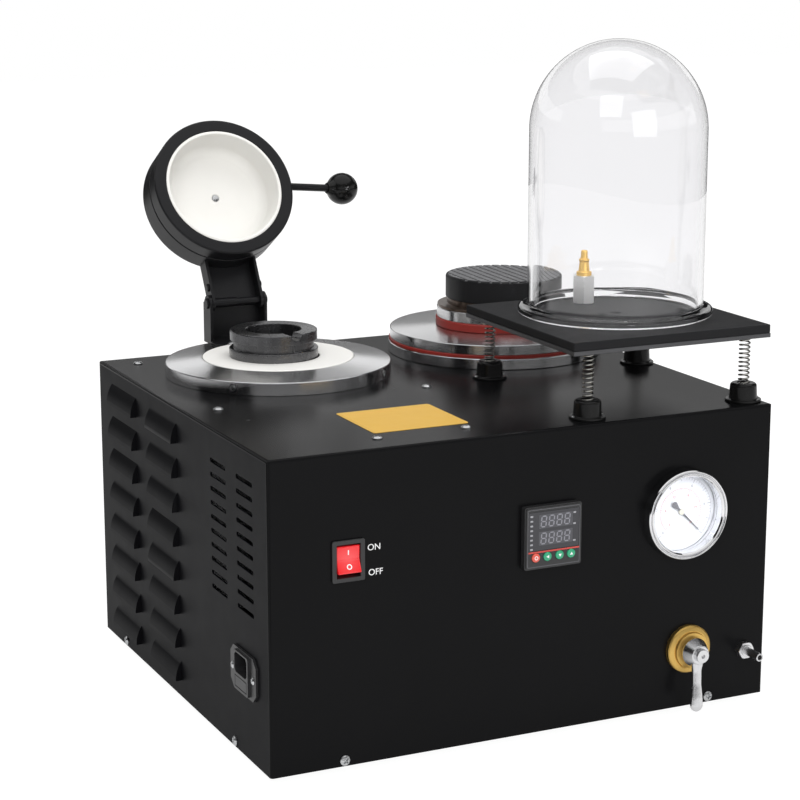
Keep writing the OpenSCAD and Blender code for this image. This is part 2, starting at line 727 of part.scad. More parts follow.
module hinge_bracket() color("#161617") {
    low = top_z + seat_h - hinge_z;
    difference() {
        union() {
            across_hinge(bracket_w) {
                circle(cheek_r);
                translate([-cheek_r, low]) square([web_back + arm_t + cheek_r, -low]);
            }
            translate([furnace_x - bracket_w / 2, furnace_y + disc_r + 3, top_z + seat_h])
                cube([bracket_w, hinge_back - disc_r - 3, arm_t]);
        }
        across_hinge(bracket_w - 2 * arm_t)
            translate([-cheek_r - 1, low + arm_t]) square([cheek_r + 1 + web_back, 3 * cheek_r - low]);
        across_hinge(bracket_w - 2 * arm_t)
            translate([0, web_top]) square([web_back + 2 * arm_t, 3 * cheek_r]);
        across_hinge(bracket_w + 2) circle(pin_r + 0.02);
        for (side = [-1, 1]) translate([furnace_x + side * 13, furnace_y + disc_r + 11, top_z])
            cylinder(r = screw_r + 0.1, h = 2 * seat_h);
    }
}

module hinge_pin() color("#2b2b2e") {
    across_hinge(bracket_w + 2 * eps) circle(pin_r);
    for (side = [-1, 1]) translate([furnace_x + side * (bracket_w / 2 + 0.8), hinge_y, hinge_z])
        rotate([0, 90, 0]) cylinder(r = pin_r + 1.6, h = 1.6, center = true);
}

module hinge_sleeve() color("#3a3a3e") {
    translate([furnace_x - arm_w / 2 + arm_t + seat_gap, hinge_y, hinge_z]) rotate([0, 90, 0])
        tube(pin_r + 0.9, pin_r + 0.02, arm_w / 2 - arm_t - seat_gap);
}

module lid_arm() color("#161617") {
    front = lid_r - hinge_back - 14;
    thrown_open() difference() {
        across_hinge(arm_w) {
            circle(cheek_r);
            translate([front, -cheek_r]) square([-front, web_low + arm_t + cheek_r]);
        }
        across_hinge(arm_w - 2 * arm_t)
            translate([front - 1, -cheek_r - 1]) square([cheek_r + 2 - front, web_low + cheek_r + 1]);
        across_hinge(arm_w - 2 * arm_t) translate([2, 0]) square(2 * cheek_r);
        at_furnace(lid_z - lid_depth) cylinder(r = lid_r + 0.05, h = 2 * lid_depth + 0.1, $fn = 128);
        across_hinge(arm_w + 2) circle(pin_r + run_gap);
        across_hinge(arm_w + 2) translate(rivet_at) circle(2.02);
    }
}

module arm_rivet() color("#2b2b2e") {
    thrown_open() for (side = [-1, 1]) {
        translate([side * (arm_w - arm_t + 1) / 2, 0, 0]) across_hinge(arm_t + 1) translate(rivet_at) circle(2);
        translate([side * (arm_w / 2 + 0.8), 0, 0]) across_hinge(1.6) translate(rivet_at) circle(3.4);
    }
}

module lid_shell() color("#1a1a1c") {
    thrown_open() difference() {
        at_furnace(lid_z) rotate_extrude($fn = 128) polygon([
            [0, 0], [lid_r - 0.8, 0], [lid_r, 0.8], [lid_r, 15], [lid_r - 1.2, 15.6], [lid_r - 1.2, 16.4],
            [lid_r, 17], [lid_r, lid_depth - 2.5], [lid_r - 2.5, lid_depth], [0, lid_depth]
        ]);
        at_furnace(lid_z - 1) cylinder(r = lining_r + 0.5 + seat_gap / 2, h = bowl_depth + 4.2);
        at_furnace(lid_z) cylinder(r = bolt_r + 0.1, h = lid_depth + 1);
        lid_handle() translate([0, 0, -6]) cylinder(r = handle_r + 0.02, h = 12);
    }
}

module lid_lining() color("#f5f3ee") {
    wall = 1.6;
    corner = 8;
    thrown_open() at_furnace(lid_z) difference() {
        rotate_extrude($fn = 128) polygon([
            [0, 0], [lining_r - 0.4, 0], [lining_r + 0.5, 0.9], [lining_r + 0.5, bowl_depth + 3], [0, bowl_depth + 3]
        ]);
        rotate_extrude($fn = 128) {
            polygon([
                [0, -1], [lining_r - wall, -1], [lining_r - wall, 0], [lining_r - 7 + 1, bowl_depth - corner],
                [lining_r - 6 - corner, bowl_depth], [0, bowl_depth]
            ]);
            translate([lining_r - 6 - corner, bowl_depth - corner]) circle(corner);
        }
        cylinder(r = bolt_r + 1.2, h = lid_depth);
    }
}

module lid_bolt() color("#a9acb0") {
    thrown_open() at_furnace(lid_z) {
        translate([0, 0, bowl_depth]) cylinder(r = bolt_r, h = lid_depth - bowl_depth + 1.5);
        translate([0, 0, lid_depth + 0.01]) cylinder(r = 5.5, h = 4, $fn = 6);
    }
}

// Local +Z runs along the handle rod from its root in the lid
module lid_handle() {
    at_furnace(lid_z + handle_h) translate([lid_r, 0, 0]) rotate([0, 90 - handle_tilt, 0]) children();
}

module handle_rod() color("#161617") {
    thrown_open() lid_handle() translate([0, 0, -6]) cylinder(r = handle_r, h = handle_l);
}

module ball_knob() color("#0c0c0d") {
    thrown_open() lid_handle() difference() {
        union() {
            translate([0, 0, handle_l]) sphere(r = knob_r);
            translate([0, 0, handle_l - knob_r - 2.5]) cylinder(r1 = handle_r + 1.2, r2 = handle_r + 3, h = 6);
        }
        translate([0, 0, handle_l - knob_r - 4]) cylinder(r = handle_r + 0.02, h = knob_r - 2);
    }
}

// ---------- casting chamber ----------

module chamber_cup() color("#b4b7bb") {
    difference() {
        union() {
            at_chamber(cup_floor_z) cylinder(r = cup_r, h = cup_depth);
            translate([chamber_pipe_x, chamber_y, chamber_pipe_z]) rotate([90, 0, 0])
                cylinder(r = pipe_r + 1.5, h = cup_r + cup_port_l);
        }
        at_chamber(cup_floor_z + cup_t) cylinder(r = cup_r - cup_t, h = cup_depth);
        translate([chamber_pipe_x, chamber_y, chamber_pipe_z]) rotate([90, 0, 0])
            cylinder(r = pipe_r - 1, h = cup_r + 20);
    }
}

module base_flange() color("#d6d8da") {
    at_chamber(top_z) rotate_extrude($fn = 128) polygon([
        [flange_bore_r, 0], [base_r - 0.6, 0], [base_r, 0.6], [base_r, base_h - 0.8],
        [base_r - 0.8, base_h], [flange_bore_r, base_h]
    ]);
}

module thin_gasket() color("#b5342b") {
    at_chamber(seal_z) tube(base_r - 0.6, cup_r - 2, seal_thin);
}

module adapter_plate() color("#d6d8da") {
    rim = base_r - 1.5;
    at_chamber(plate_z) rotate_extrude($fn = 128) polygon([
        [throat_r, 0], [rim - 0.5, 0], [rim, 0.5], [rim, plate_band_h - 0.6], [rim - 0.6, plate_band_h],
        [seal_r, plate_h], [throat_r, plate_h]
    ]);
}

module thick_gasket() color("#b5342b") {
    at_chamber(thick_z) rotate_extrude($fn = 96) polygon([
        [throat_r, 0], [seal_r - 0.8, 0], [seal_r, 0.8], [seal_r, seal_thick - 0.8],
        [seal_r - 0.8, seal_thick], [throat_r, seal_thick]
    ]);
}

module small_ring() color("#d6d8da") {
    r = seal_r - 1;
    at_chamber(small_ring_z) rotate_extrude($fn = 96) polygon([
        [throat_r, 0], [r - 0.5, 0], [r, 0.5], [r, small_ring_h - 0.5], [r - 0.5, small_ring_h],
        [throat_r, small_ring_h]
    ]);
}

module stepped_ring() color("#4a3b31") {
    r = seal_r - 1.5;
    low = step_ring_h * 0.3;
    at_chamber(step_ring_z) rotate_extrude($fn = 96) polygon([
        [throat_r - 6, 0], [r, 0], [r, low - 0.4], [r - 0.4, low], [throat_r - 1, low],
        [throat_r - 1, step_ring_h], [throat_r - 6, step_ring_h]
    ]);
}

module ribbed_cap() color("#1b1b1d") {
    groove = 2;
    groove_turn = 87;
    at_chamber(cap_z) translate([cap_shift, 0, 0]) difference() {
        rotate_extrude($fn = 128) polygon([
            [0, 0], [cap_r - 0.8, 0], [cap_r, 0.8], [cap_r, cap_h - 2], [cap_r - 2, cap_h], [0, cap_h]
        ]);
        for (i = [-5.5 : 5.5]) rotate(groove_turn) translate([-cap_r, i * cap_r / 6.4 - groove / 2, cap_h - 1.2])
            cube([2 * cap_r, groove, 2]);
    }
}

// ---------- vacuum table ----------

module at_springs(z) {
    for (sx = [-1, 1], sy = [-1, 1])
        translate([table_x + sx * spring_x, table_y + sy * spring_y, z]) children();
}

module spring_feet() color("#101011") {
    at_springs(top_z) difference() {
        union() {
            cylinder(r = cup_flange_r, h = 2);
            cylinder(r1 = cup_foot_r, r2 = cup_foot_r - 0.6, h = cup_foot_h - 3);
            translate([0, 0, cup_foot_h - 3]) rotate_extrude() {
                square([cup_foot_r - 3.6, 3]);
                intersection() {
                    translate([cup_foot_r - 3.6, 0]) circle(3);
                    translate([cup_foot_r - 3.6, 0]) square(4);
                }
            }
        }
        translate([0, 0, cup_foot_h - spring_seat]) cylinder(r = spring_r + spring_wire_r + seat_gap, h = 4);
        for (side = [-1, 1]) translate([side * (cup_flange_r - 1.7), 0, -1]) cylinder(r = 0.9, h = 4);
    }
}

module table_springs() color("#b8b4aa") {
    at_springs(spring_low + spring_wire_r) helix(spring_r, spring_wire_r, spring_pitch, spring_curls, 8);
}

module table_plate() color("#55575a") {
    difference() {
        translate([table_x - table_w / 2, table_y - table_d / 2, under_z]) cube([table_w, table_d, plate_t]);
        translate([jar_x, suction_y, under_z - 1]) cylinder(r = suction_r, h = plate_t + 2);
        translate([jar_x, fitting_y, under_z - 1]) cylinder(r = stud_r + 0.1, h = plate_t + 2);
    }
}

module table_mat() color("#2b2c2e") {
    difference() {
        translate([table_x, table_y, table_z - mat_t]) linear_extrude(mat_t) rounded_rect(table_w, table_d, 1.5);
        translate([jar_x, suction_y, table_z - mat_t - 1]) cylinder(r = suction_r, h = mat_t + 2);
        translate([jar_x, fitting_y, table_z - mat_t - 1]) cylinder(r = stud_r + 0.1, h = mat_t + 2);
    }
}

module bell_jar() color("#cfe3ea", 0.35) {
    translate([jar_x, jar_y, table_z]) difference() {
        union() {
            cylinder(r = jar_flange_r, h = jar_flange_h, $fn = 128);
            cylinder(r = jar_r, h = jar_dome_up, $fn = 128);
            translate([0, 0, jar_dome_up]) sphere(r = jar_r, $fn = 128);
        }
        translate([0, 0, -1]) cylinder(r = jar_r - jar_t, h = jar_dome_up + 1, $fn = 128);
        translate([0, 0, jar_dome_up]) sphere(r = jar_r - jar_t, $fn = 128);
    }
}

module release_fitting() color("#c3c6ca") {
    translate([jar_x, fitting_y, table_z]) {
        cylinder(r = fitting_af / sqrt(3), h = fitting_h, $fn = 6);
        translate([0, 0, -mat_t - plate_t]) cylinder(r = stud_r, h = mat_t + plate_t + 1);
    }
}

module release_tip() color("#c79a4b") {
    translate([jar_x, fitting_y, table_z + fitting_h]) rotate_extrude() polygon([
        [0, 0], [6.2, 0], [6.2, 3], [4.6, 3], [3.8, 11], [4.3, 11.6], [4.3, 13], [3, 13.6], [2.6, 20], [0, 20.6]
    ]);
}

// ---------- front panel ----------

module switch_frame() color("#c02024") {
    tub_w = switch_w - 3.4;
    tub_h = switch_h - 3.4;
    slot_w2 = switch_w - 7;
    slot_h2 = 2 * rocker_r + 2 * seat_gap;
    on_front(switch_x, switch_z) difference() {
        union() {
            linear_extrude(2) rounded_rect(switch_w, switch_h, 1.5);
            translate([0, 0, -22]) linear_extrude(22 + eps) square([tub_w, tub_h], center = true);
            for (side = [-1, 1]) translate([0, side * 7, -30]) cube([6, 0.8, 18], center = true);
        }
        translate([0, 0, -4 - rocker_r - 1]) linear_extrude(30) square([slot_w2, slot_h2], center = true);
        translate([0, 0, -4]) rotate([0, 90, 0]) cylinder(r = 1.55, h = tub_w - 1.6, center = true);
    }
}

module rocker() color("#d2262b") {
    face = 5;
    tip = 7.4;
    on_front(switch_x, switch_z) translate([0, 0, -4]) rotate([rocker_throw / 2 * -1, 0, 0]) {
        rotate([90, 0, 90]) translate([0, 0, -(switch_w - 7) / 2 + seat_gap])
            linear_extrude(switch_w - 7 - 2 * seat_gap) intersection() {
                circle(rocker_r);
                polygon([[-rocker_r, -6], [rocker_r, -6], [rocker_r, tip], [9, tip], [0, face],
                         [-9, tip], [-rocker_r, tip]]);
            }
        rotate([0, 90, 0]) cylinder(r = 1.5, h = switch_w - 7 + 1.4, center = true);
    }
}

module controller_case() color("#18181a") {
    face_w = controller_w - 2;
    on_front(controller_x, controller_z) difference() {
        union() {
            translate([0, 0, 0]) linear_extrude(controller_out - 1) rounded_rect(controller_w, controller_w, 2);
            translate([0, 0, controller_out - 1 - eps]) linear_extrude(1 + eps) rounded_rect(face_w, face_w, 1.5);
            translate([0, 0, -controller_depth]) linear_extrude(controller_depth + eps)
                square(body_w, center = true);
        }
        translate([0.3, 5.2, controller_out - 1.2]) linear_extrude(2) rounded_rect(43, 30, 1);
        for (x = button_xs) translate([x, button_drop, controller_out - 5]) cylinder(r = button_r + 0.25, h = 6);
    }
}

module display_window() color("#0b0b0c") {
    on_front(controller_x, controller_z) translate([0.3, 5.2, controller_out - 1.2])
        linear_extrude(0.9) rounded_rect(43 - seat_gap, 30 - seat_gap, 0.9);
}

module controller_button(i) {
    on_front(controller_x + button_xs[i], controller_z + button_drop) translate([0, 0, controller_out - 3.6])
        union() {
            cylinder(r = button_r, h = 4.2);
            translate([0, 0, 4.2 - eps]) cylinder(r1 = button_r, r2 = button_r - 0.5, h = 0.5);
        }
}

module button_set() color("#c8252a") controller_button(0);

module button_left() color("#2f8f5b") controller_button(1);

module button_down() color("#2f8f5b") controller_button(2);

module button_up() color("#2f8f5b") controller_button(3);

module gauge_case() color("#c9ccd0") {
    on_front(gauge_x, gauge_z) difference() {
        union() {
            cylinder(r = gauge_r - 0.5, h = 3, $fn = 96);
            translate([0, 0, -gauge_back]) cylinder(r = gauge_r - 3, h = gauge_back + eps, $fn = 96);
        }
        translate([0, 0, -4]) cylinder(r = dial_r + 0.2, h = 10, $fn = 96);
        translate([0, 0, -10]) cylinder(r = shaft_r + run_gap, h = 10);
    }
}

module gauge_bezel() color("#d9dbdd") {
    on_front(gauge_x, gauge_z) translate([0, 0, 3]) rotate_extrude($fn = 128) difference() {
        polygon([
            [dial_r - 0.6, 0], [gauge_r, 0], [gauge_r, 6.4], [gauge_r - 1.4, 7.8], [dial_r + 0.6, 7.8],
            [dial_r - 0.6, 6]
        ]);
        translate([(gauge_r + dial_r) / 2, 8.4]) circle(1.3, $fn = 32);
    }
}

module gauge_dial() color("#f4f4f2") {
    on_front(gauge_x, gauge_z) translate([0, 0, -4]) tube(dial_r, shaft_r + run_gap, 1);
}

module gauge_lens() color("#dfe8ec", 0.4) {
    on_front(gauge_x, gauge_z) translate([0, 0, 1]) cylinder(r = dial_r, h = 2, $fn = 96);
}

module gauge_needle() color("#1a1a1c") {
    on_front(gauge_x, gauge_z) rotate([0, 0, -45]) {
        translate([0, 0, -2]) cylinder(r = 2.4, h = 1.6);
        translate([0, 0, -8]) cylinder(r = shaft_r, h = 7);
        translate([0, 0, -1.6]) linear_extrude(0.7)
            polygon([[-9, -1.2], [-9, 1.2], [0, 1], [dial_r - 8, 0.25], [dial_r - 8, -0.25], [0, -1]]);
    }
}

// ---------- valve and pump port ----------

module valve_body() color("#b8893f") {
    difference() {
        union() {
            on_front(valve_x, valve_z) {
                translate([0, 0, -valve_len]) cylinder(r = 14.5, h = valve_len + eps);
                rotate_extrude() polygon([
                    [0, 0], [valve_flange_r, 0], [valve_flange_r, 3.6], [valve_flange_r - 1, 4.6],
                    [valve_flange_r - 4, 4.6], [valve_flange_r - 5, 8], [0, 8]
                ]);
            }
            translate([valve_x, port_y, nipple_z]) rotate([0, 90, 0]) cylinder(r = pipe_r + 1.5, h = valve_port_l);
            translate([gauge_x, gauge_port_y, valve_z]) cylinder(r = pipe_r + 1.5, h = valve_port_l);
            translate([chamber_pipe_x, chamber_port_y, valve_z]) cylinder(r = pipe_r + 1.5, h = valve_port_l);
        }
        on_front(valve_x, valve_z) translate([0, 0, -20]) cylinder(r = stem_r + run_gap, h = 30);
    }
}

module valve_stem() color("#b8893f") {
    on_front(valve_x, valve_z) translate([0, 0, -19]) cylinder(r = stem_r, h = 19 + 13);
}

module valve_lever() color("#d0d2d5") {
    lean = 4;
    on_front(valve_x, valve_z) rotate([0, 0, -lean]) difference() {
        union() {
            translate([0, 0, 8.3]) cylinder(r = 10, h = 2.7);
            translate([0, 0, 11 - eps]) cylinder(r1 = 11.4, r2 = 7.4, h = 9);
            translate([0, 0, 20 - 2 * eps]) cylinder(r = 5.5, h = 2.4);
            translate([0, 0, 22.3]) cylinder(r1 = 5.5, r2 = 4.3, h = 1.2);
            translate([0, 0, 12]) linear_extrude(5.6) {
                polygon([[-4.6, 0], [4.6, 0], [4, -12], [5, -lever_l + 5], [-5, -lever_l + 5], [-4, -12]]);
                translate([0, -lever_l + 5]) circle(5);
            }
        }
        translate([0, 0, 7]) cylinder(r = stem_r + 0.02, h = 6.05);
        translate([0, 0, 22.5]) rotate(30) cube([7, 1.2, 3], center = true);
    }
}

module pump_nipple() color("#c9ccd0") {
    on_front(nipple_x, nipple_z) difference() {
        union() {
            translate([0, 0, -nipple_back]) cylinder(r = nipple_r, h = nipple_back + nipple_out);
            cylinder(r = 6.25 * 2 / sqrt(3), h = 5.5, $fn = 6);
            translate([0, 0, 5.5 - eps]) cylinder(r = 4.6, h = 1.2);
        }
        translate([0, 0, -nipple_back - 1]) cylinder(r = nipple_bore_r, h = nipple_back + nipple_out + 2);
    }
}

// Quarter bend of pipe from local +X to local +Y
module pipe_bend() {
    rotate_extrude(angle = 90) translate([bend_r, 0]) circle(pipe_r);
}

module vacuum_pipes() color("#8e2f28") {
    // from the pump nipple back, then left to the valve
    turn_x = nipple_x - bend_r;
    start_x = valve_x + valve_port_l;
    translate([start_x, port_y, nipple_z]) rotate([0, 90, 0]) cylinder(r = pipe_r, h = turn_x - start_x);
    translate([turn_x, port_y - bend_r, nipple_z]) pipe_bend();
    // from the gauge back and down to the valve
    port_top = valve_z + valve_port_l;
    translate([gauge_x, gauge_port_y, port_top]) cylinder(r = pipe_r, h = gauge_z - bend_r - port_top);
    translate([gauge_x, gauge_port_y - bend_r, gauge_z - bend_r]) rotate([90, 0, 90]) pipe_bend();
    // from the valve up and back to the chamber
    bend_z = chamber_pipe_z - bend_r;
    chamber_end = chamber_y - cup_r - cup_port_l;
    chamber_run = chamber_end - chamber_port_y - bend_r;
    translate([chamber_pipe_x, chamber_port_y, port_top]) cylinder(r = pipe_r, h = bend_z - port_top);
    translate([chamber_pipe_x, chamber_port_y + bend_r, bend_z]) rotate([90, 0, 90]) rotate(90) pipe_bend();
    translate([chamber_pipe_x, chamber_end, chamber_pipe_z]) rotate([90, 0, 0])
        cylinder(r = pipe_r, h = chamber_run);
}

// ---------- mains inlet ----------

module mains_inlet() color("#121213") {
    // drawn with local +Z pointing out of the left side, local +X to the machine's front, +Y up
    translate([left_x, inlet_y, inlet_z]) rotate([90, 0, -90]) {
        difference() {
            union() {
                linear_extrude(2) cut_rect(inlet_w, inlet_h, 6);
                linear_extrude(4) rounded_rect(28, inlet_h - 3, 2);
                translate([0, 0, -26]) linear_extrude(26 + eps) square([27.4, inlet_h - 4], center = true);
            }
            translate([0, 0, -16]) linear_extrude(30) translate([0, 6]) cut_rect(24, 15.4, 2.5);
            for (side = [-1, 1]) translate([side * 20, 0, -1]) cylinder(r = screw_r + 0.1, h = 5);
            translate([0, -8.4, 3.4]) linear_extrude(2) difference() {
                square([23, 9], center = true);
                square([21.8, 7.8], center = true);
            }
        }
        for (p = [[0, 9.4], [-7, 3.6], [7, 3.6]])
            translate([p[0] - 1, p[1] - 2, -16 - eps]) cube([2, 4, 12]);
    }
}

base_tray();
rubber_feet();
casing_hood();
left_side_panel();
right_side_panel();
casing_screws();
heater_relay();
deck_ring();
ring_screws();
ceramic_disc();
furnace_drum();
insulation();
muffle();
heating_coil();
thermocouple();
crucible();
hinge_bracket();
hinge_pin();
hinge_sleeve();
lid_arm();
arm_rivet();
lid_shell();
lid_lining();
lid_bolt();
handle_rod();
ball_knob();
chamber_cup();
base_flange();
thin_gasket();
adapter_plate();
thick_gasket();
small_ring();
stepped_ring();
ribbed_cap();
spring_feet();
table_springs();
table_plate();
table_mat();
bell_jar();
release_fitting();
release_tip();
switch_frame();
rocker();
controller_case();
display_window();
button_set();
button_left();
button_down();
button_up();
gauge_case();
gauge_bezel();
gauge_dial();
gauge_lens();
gauge_needle();
valve_body();
valve_stem();
valve_lever();
pump_nipple();
mains_inlet();
vacuum_pipes();
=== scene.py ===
"""Looks of a jewellery vacuum casting machine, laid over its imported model.

Every size is in millimetres. Meshes are written in metres, in the model's own frame: +Z up, the front
panel towards -Y, the origin on the standing surface under the middle of the casing.
"""
import json
import logging
import math
from dataclasses import dataclass, field
from enum import Enum
from typing import Iterable, Sequence

import bmesh
import bpy
import numpy as np
from mathutils import Matrix


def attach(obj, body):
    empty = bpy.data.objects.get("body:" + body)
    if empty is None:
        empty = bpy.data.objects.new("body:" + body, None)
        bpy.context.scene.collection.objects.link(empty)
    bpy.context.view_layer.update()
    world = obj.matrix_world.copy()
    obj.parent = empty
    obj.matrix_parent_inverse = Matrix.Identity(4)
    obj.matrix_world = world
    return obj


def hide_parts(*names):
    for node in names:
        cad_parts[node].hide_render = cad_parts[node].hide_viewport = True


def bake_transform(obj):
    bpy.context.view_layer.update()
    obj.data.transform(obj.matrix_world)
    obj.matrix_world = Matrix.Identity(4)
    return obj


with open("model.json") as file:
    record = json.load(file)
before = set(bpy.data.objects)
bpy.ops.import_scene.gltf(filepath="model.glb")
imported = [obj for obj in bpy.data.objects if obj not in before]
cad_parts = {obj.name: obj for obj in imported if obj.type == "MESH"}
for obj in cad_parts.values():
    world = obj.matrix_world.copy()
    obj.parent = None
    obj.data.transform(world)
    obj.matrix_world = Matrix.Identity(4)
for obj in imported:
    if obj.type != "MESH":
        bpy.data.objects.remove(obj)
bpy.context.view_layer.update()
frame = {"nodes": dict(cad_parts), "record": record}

LOG = logging.getLogger("casting_machine")
METRE = 0.001
PER_METRE = 1000.0
FULL_TURN = 2 * math.pi
QUARTER_TURN = math.pi / 2
Array = np.ndarray
Number = float | int
Point = tuple[float, float]

# Planes, axes and heights that several assemblies share
DECK = 243.0
FRONT = -189.0
BACK = 189.0
LEFT = -210.0
RIGHT = 210.0
FURNACE = (-90.0, 83.0)
CRUCIBLE = (FURNACE[0] - 3.2, FURNACE[1] + 1.5)
CHAMBER = (116.0, 93.0)
HINGE = (177.5, 286.4)
LID_Z = 257.3
LID_OPEN = -120.0
TABLE = (126.0, -91.0)
TABLE_Z = 303.0
SPRING_HALF = (69.5, 79.0)
JAR = (131.0, -82.0)
INLET = (-142.0, 73.5)

# How meshes and materials are finished
WELD_DIST = 2e-6
FLAT_ANGLE = 0.4
NORMAL_WEIGHT = 80
GLOSS_CLOUD = 0.35
COAT_ROUGH = 0.08
INK = 0.06


# ---------- places ----------


@dataclass(frozen=True)
class Place:
    """A turn and a shift that carry a piece's own millimetres to the machine's."""

    turn: Array = field(default_factory=lambda: np.eye(3))
    shift: Array = field(default_factory=lambda: np.zeros(3))

    def __call__(self, points: Array) -> Array:
        """Turns the points, then shifts them."""
        return points @ self.turn.T + self.shift

    def then(self, outer: "Place") -> "Place":
        """Joins this place to the one that carries it."""
        return Place(outer.turn @ self.turn, outer.turn @ self.shift + outer.shift)


def about(axis: Array | Sequence[float], degrees: float) -> Array:
    """Turn matrix about an axis: I + sin(a) K + (1 - cos(a)) K K, K being the axis's cross matrix.

    Args:
        axis: direction of the axis, of any length.
        degrees: angle of the turn.

    Returns:
        A 3 by 3 matrix.
    """
    x, y, z = np.asarray(axis, float) / np.linalg.norm(axis)
    cross = np.array([[0, -z, y], [z, 0, -x], [-y, x, 0]])
    angle = math.radians(degrees)
    return np.eye(3) + math.sin(angle) * cross + (1 - math.cos(angle)) * cross @ cross


def at(x: float, y: float, z: float, turn: float = 0.0) -> Place:
    """Upright place at a point, turned about +Z."""
    return Place(about((0, 0, 1), turn), np.array([x, y, z], float))


def on_front(x: float, z: float, turn: float = 0.0) -> Place:
    """Place on the front panel: its +Z points out of the panel and its +Y up."""
    return at(0, 0, 0, turn).then(Place(about((1, 0, 0), 90), np.array([x, FRONT, z], float)))


def on_left(y: float, z: float) -> Place:
    """Place on the left side: its +Z points out of the side, its +X to the front and its +Y up."""
    turn = about((0, 0, 1), -90) @ about((1, 0, 0), 90)
    return Place(turn, np.array([LEFT, y, z], float))


def on_side(side: int, y: float, z: float) -> Place:
    """Place whose +Z points out of the left (-1) or right (1) side."""
    return Place(about((0, 1, 0), 90 * side), np.array([RIGHT * side, y, z], float))


def on_back(x: float, z: float, turn: float = 0.0) -> Place:
    """Place on the back: its +Z points out of the back."""
    return at(0, 0, 0, turn).then(Place(about((1, 0, 0), -90), np.array([x, BACK, z], float)))


def four_places(centre: Point, half: Point, z: float) -> list[Place]:
    """Upright places at the corners of a rectangle, from its middle and half its sides."""
    return [at(centre[0] + sx * half[0], centre[1] + sy * half[1], z) for sx in (-1, 1) for sy in (-1, 1)]


def across_hinge(x: float = FURNACE[0]) -> Place:
    """Place on the hinge axis: its +Z runs along the axis to the right, +X to the back, +Y up."""
    turn = about((0, 0, 1), 90) @ about((1, 0, 0), 90)
    return Place(turn, np.array([x, *HINGE], float))


# The lid's turn about its hinge, from shut to thrown open
OPENING = about((1, 0, 0), LID_OPEN)
THROWN = Place(OPENING, np.array([0, *HINGE]) - OPENING @ np.array([0, *HINGE]))
LID = at(*FURNACE, LID_Z).then(THROWN)


# ---------- shells ----------


class Ends(Enum):
    """How the first and last rows of a grid are closed."""

    OPEN = 0
    CAPS = 1
    LOOP = 2


@dataclass
class Shell:
    """Points in millimetres and the faces that index them."""

    points: Array
    faces: list[list[int]]

    def moved(self, place: Place) -> "Shell":
        """The same shell carried to a place."""
        return Shell(place(self.points), self.faces)

    def __add__(self, other: "Shell") -> "Shell":
        """Both shells as one."""
        step = len(self.points)
        return Shell(np.vstack([self.points, other.points]), self.faces + [[i + step for i in f] for f in other.faces])


def joined(shells: Iterable[Shell]) -> Shell:
    """All the shells as one.

    Args:
        shells: the shells, in any order.

    Returns:
        One shell that holds them.
    """
    total, *rest = list(shells)
    for shell in rest:
        total = total + shell
    return total


def outward(points: Array, faces: list[list[int]]) -> list[list[int]]:
    """Turns a closed shell's faces outwards where their signed volume, the sum of p0 . (p1 x p2), is negative.

    Args:
        points: the shell's points.
        faces: its faces.

    Returns:
        The faces, all turned round if they pointed inwards.
    """
    fans = np.array([[f[0], f[k], f[k + 1]] for f in faces for k in range(1, len(f) - 1)])
    a, b, c = (points[fans[:, k]] - points.mean(0) for k in range(3))
    volume = np.einsum("ij,ij->i", a, np.cross(b, c)).sum()
    return [f[::-1] for f in faces] if volume < 0 else faces


def skin(grid: Array, ends: Ends = Ends.CAPS, wrap: bool = True) -> Shell:
    """Quads over a grid of points: face (i, j) joins rows i and i + 1 at columns j and j + 1.

    Args:
        grid: rows by columns by 3. A first or last row whose points are one point becomes a pole.
        ends: how the first and last rows are closed.
        wrap: whether the last column joins the first.

    Returns:
        The shell, its faces outwards where it is closed.
    """
    rows, cols, _ = grid.shape
    index = np.arange(rows * cols).reshape(rows, cols)
    if ends is Ends.LOOP:
        index = np.vstack([index, index[:1]])
    if wrap:
        index = np.hstack([index, index[:, :1]])
    quads = np.stack([index[:-1, :-1], index[:-1, 1:], index[1:, 1:], index[1:, :-1]], -1).reshape(-1, 4)
    faces = quads.tolist()
    if ends is Ends.CAPS:
        faces += [list(range(cols))[::-1], [(rows - 1) * cols + k for k in range(cols)]]
    points = grid.reshape(-1, 3)
    shell = welded(points, faces)
    if ends is Ends.OPEN and not wrap:
        return shell
    return Shell(shell.points, outward(shell.points, shell.faces))


def welded(points: Array, faces: list[list[int]]) -> Shell:
    """Merges points that coincide to a micrometre and drops the faces that fall together.

    Args:
        points: the points in millimetres.
        faces: their faces.

    Returns:
        A shell without double points.
    """
    _, first, back = np.unique(np.round(points, 3), axis=0, return_index=True, return_inverse=True)
    back = back.reshape(-1)
    slim = []
    for face in faces:
        ring = [int(back[i]) for i in face]
        ring = [v for k, v in enumerate(ring) if v != ring[k - 1]]
        if len(set(ring)) > 2:
            slim.append(ring)
    return Shell(points[first], slim)


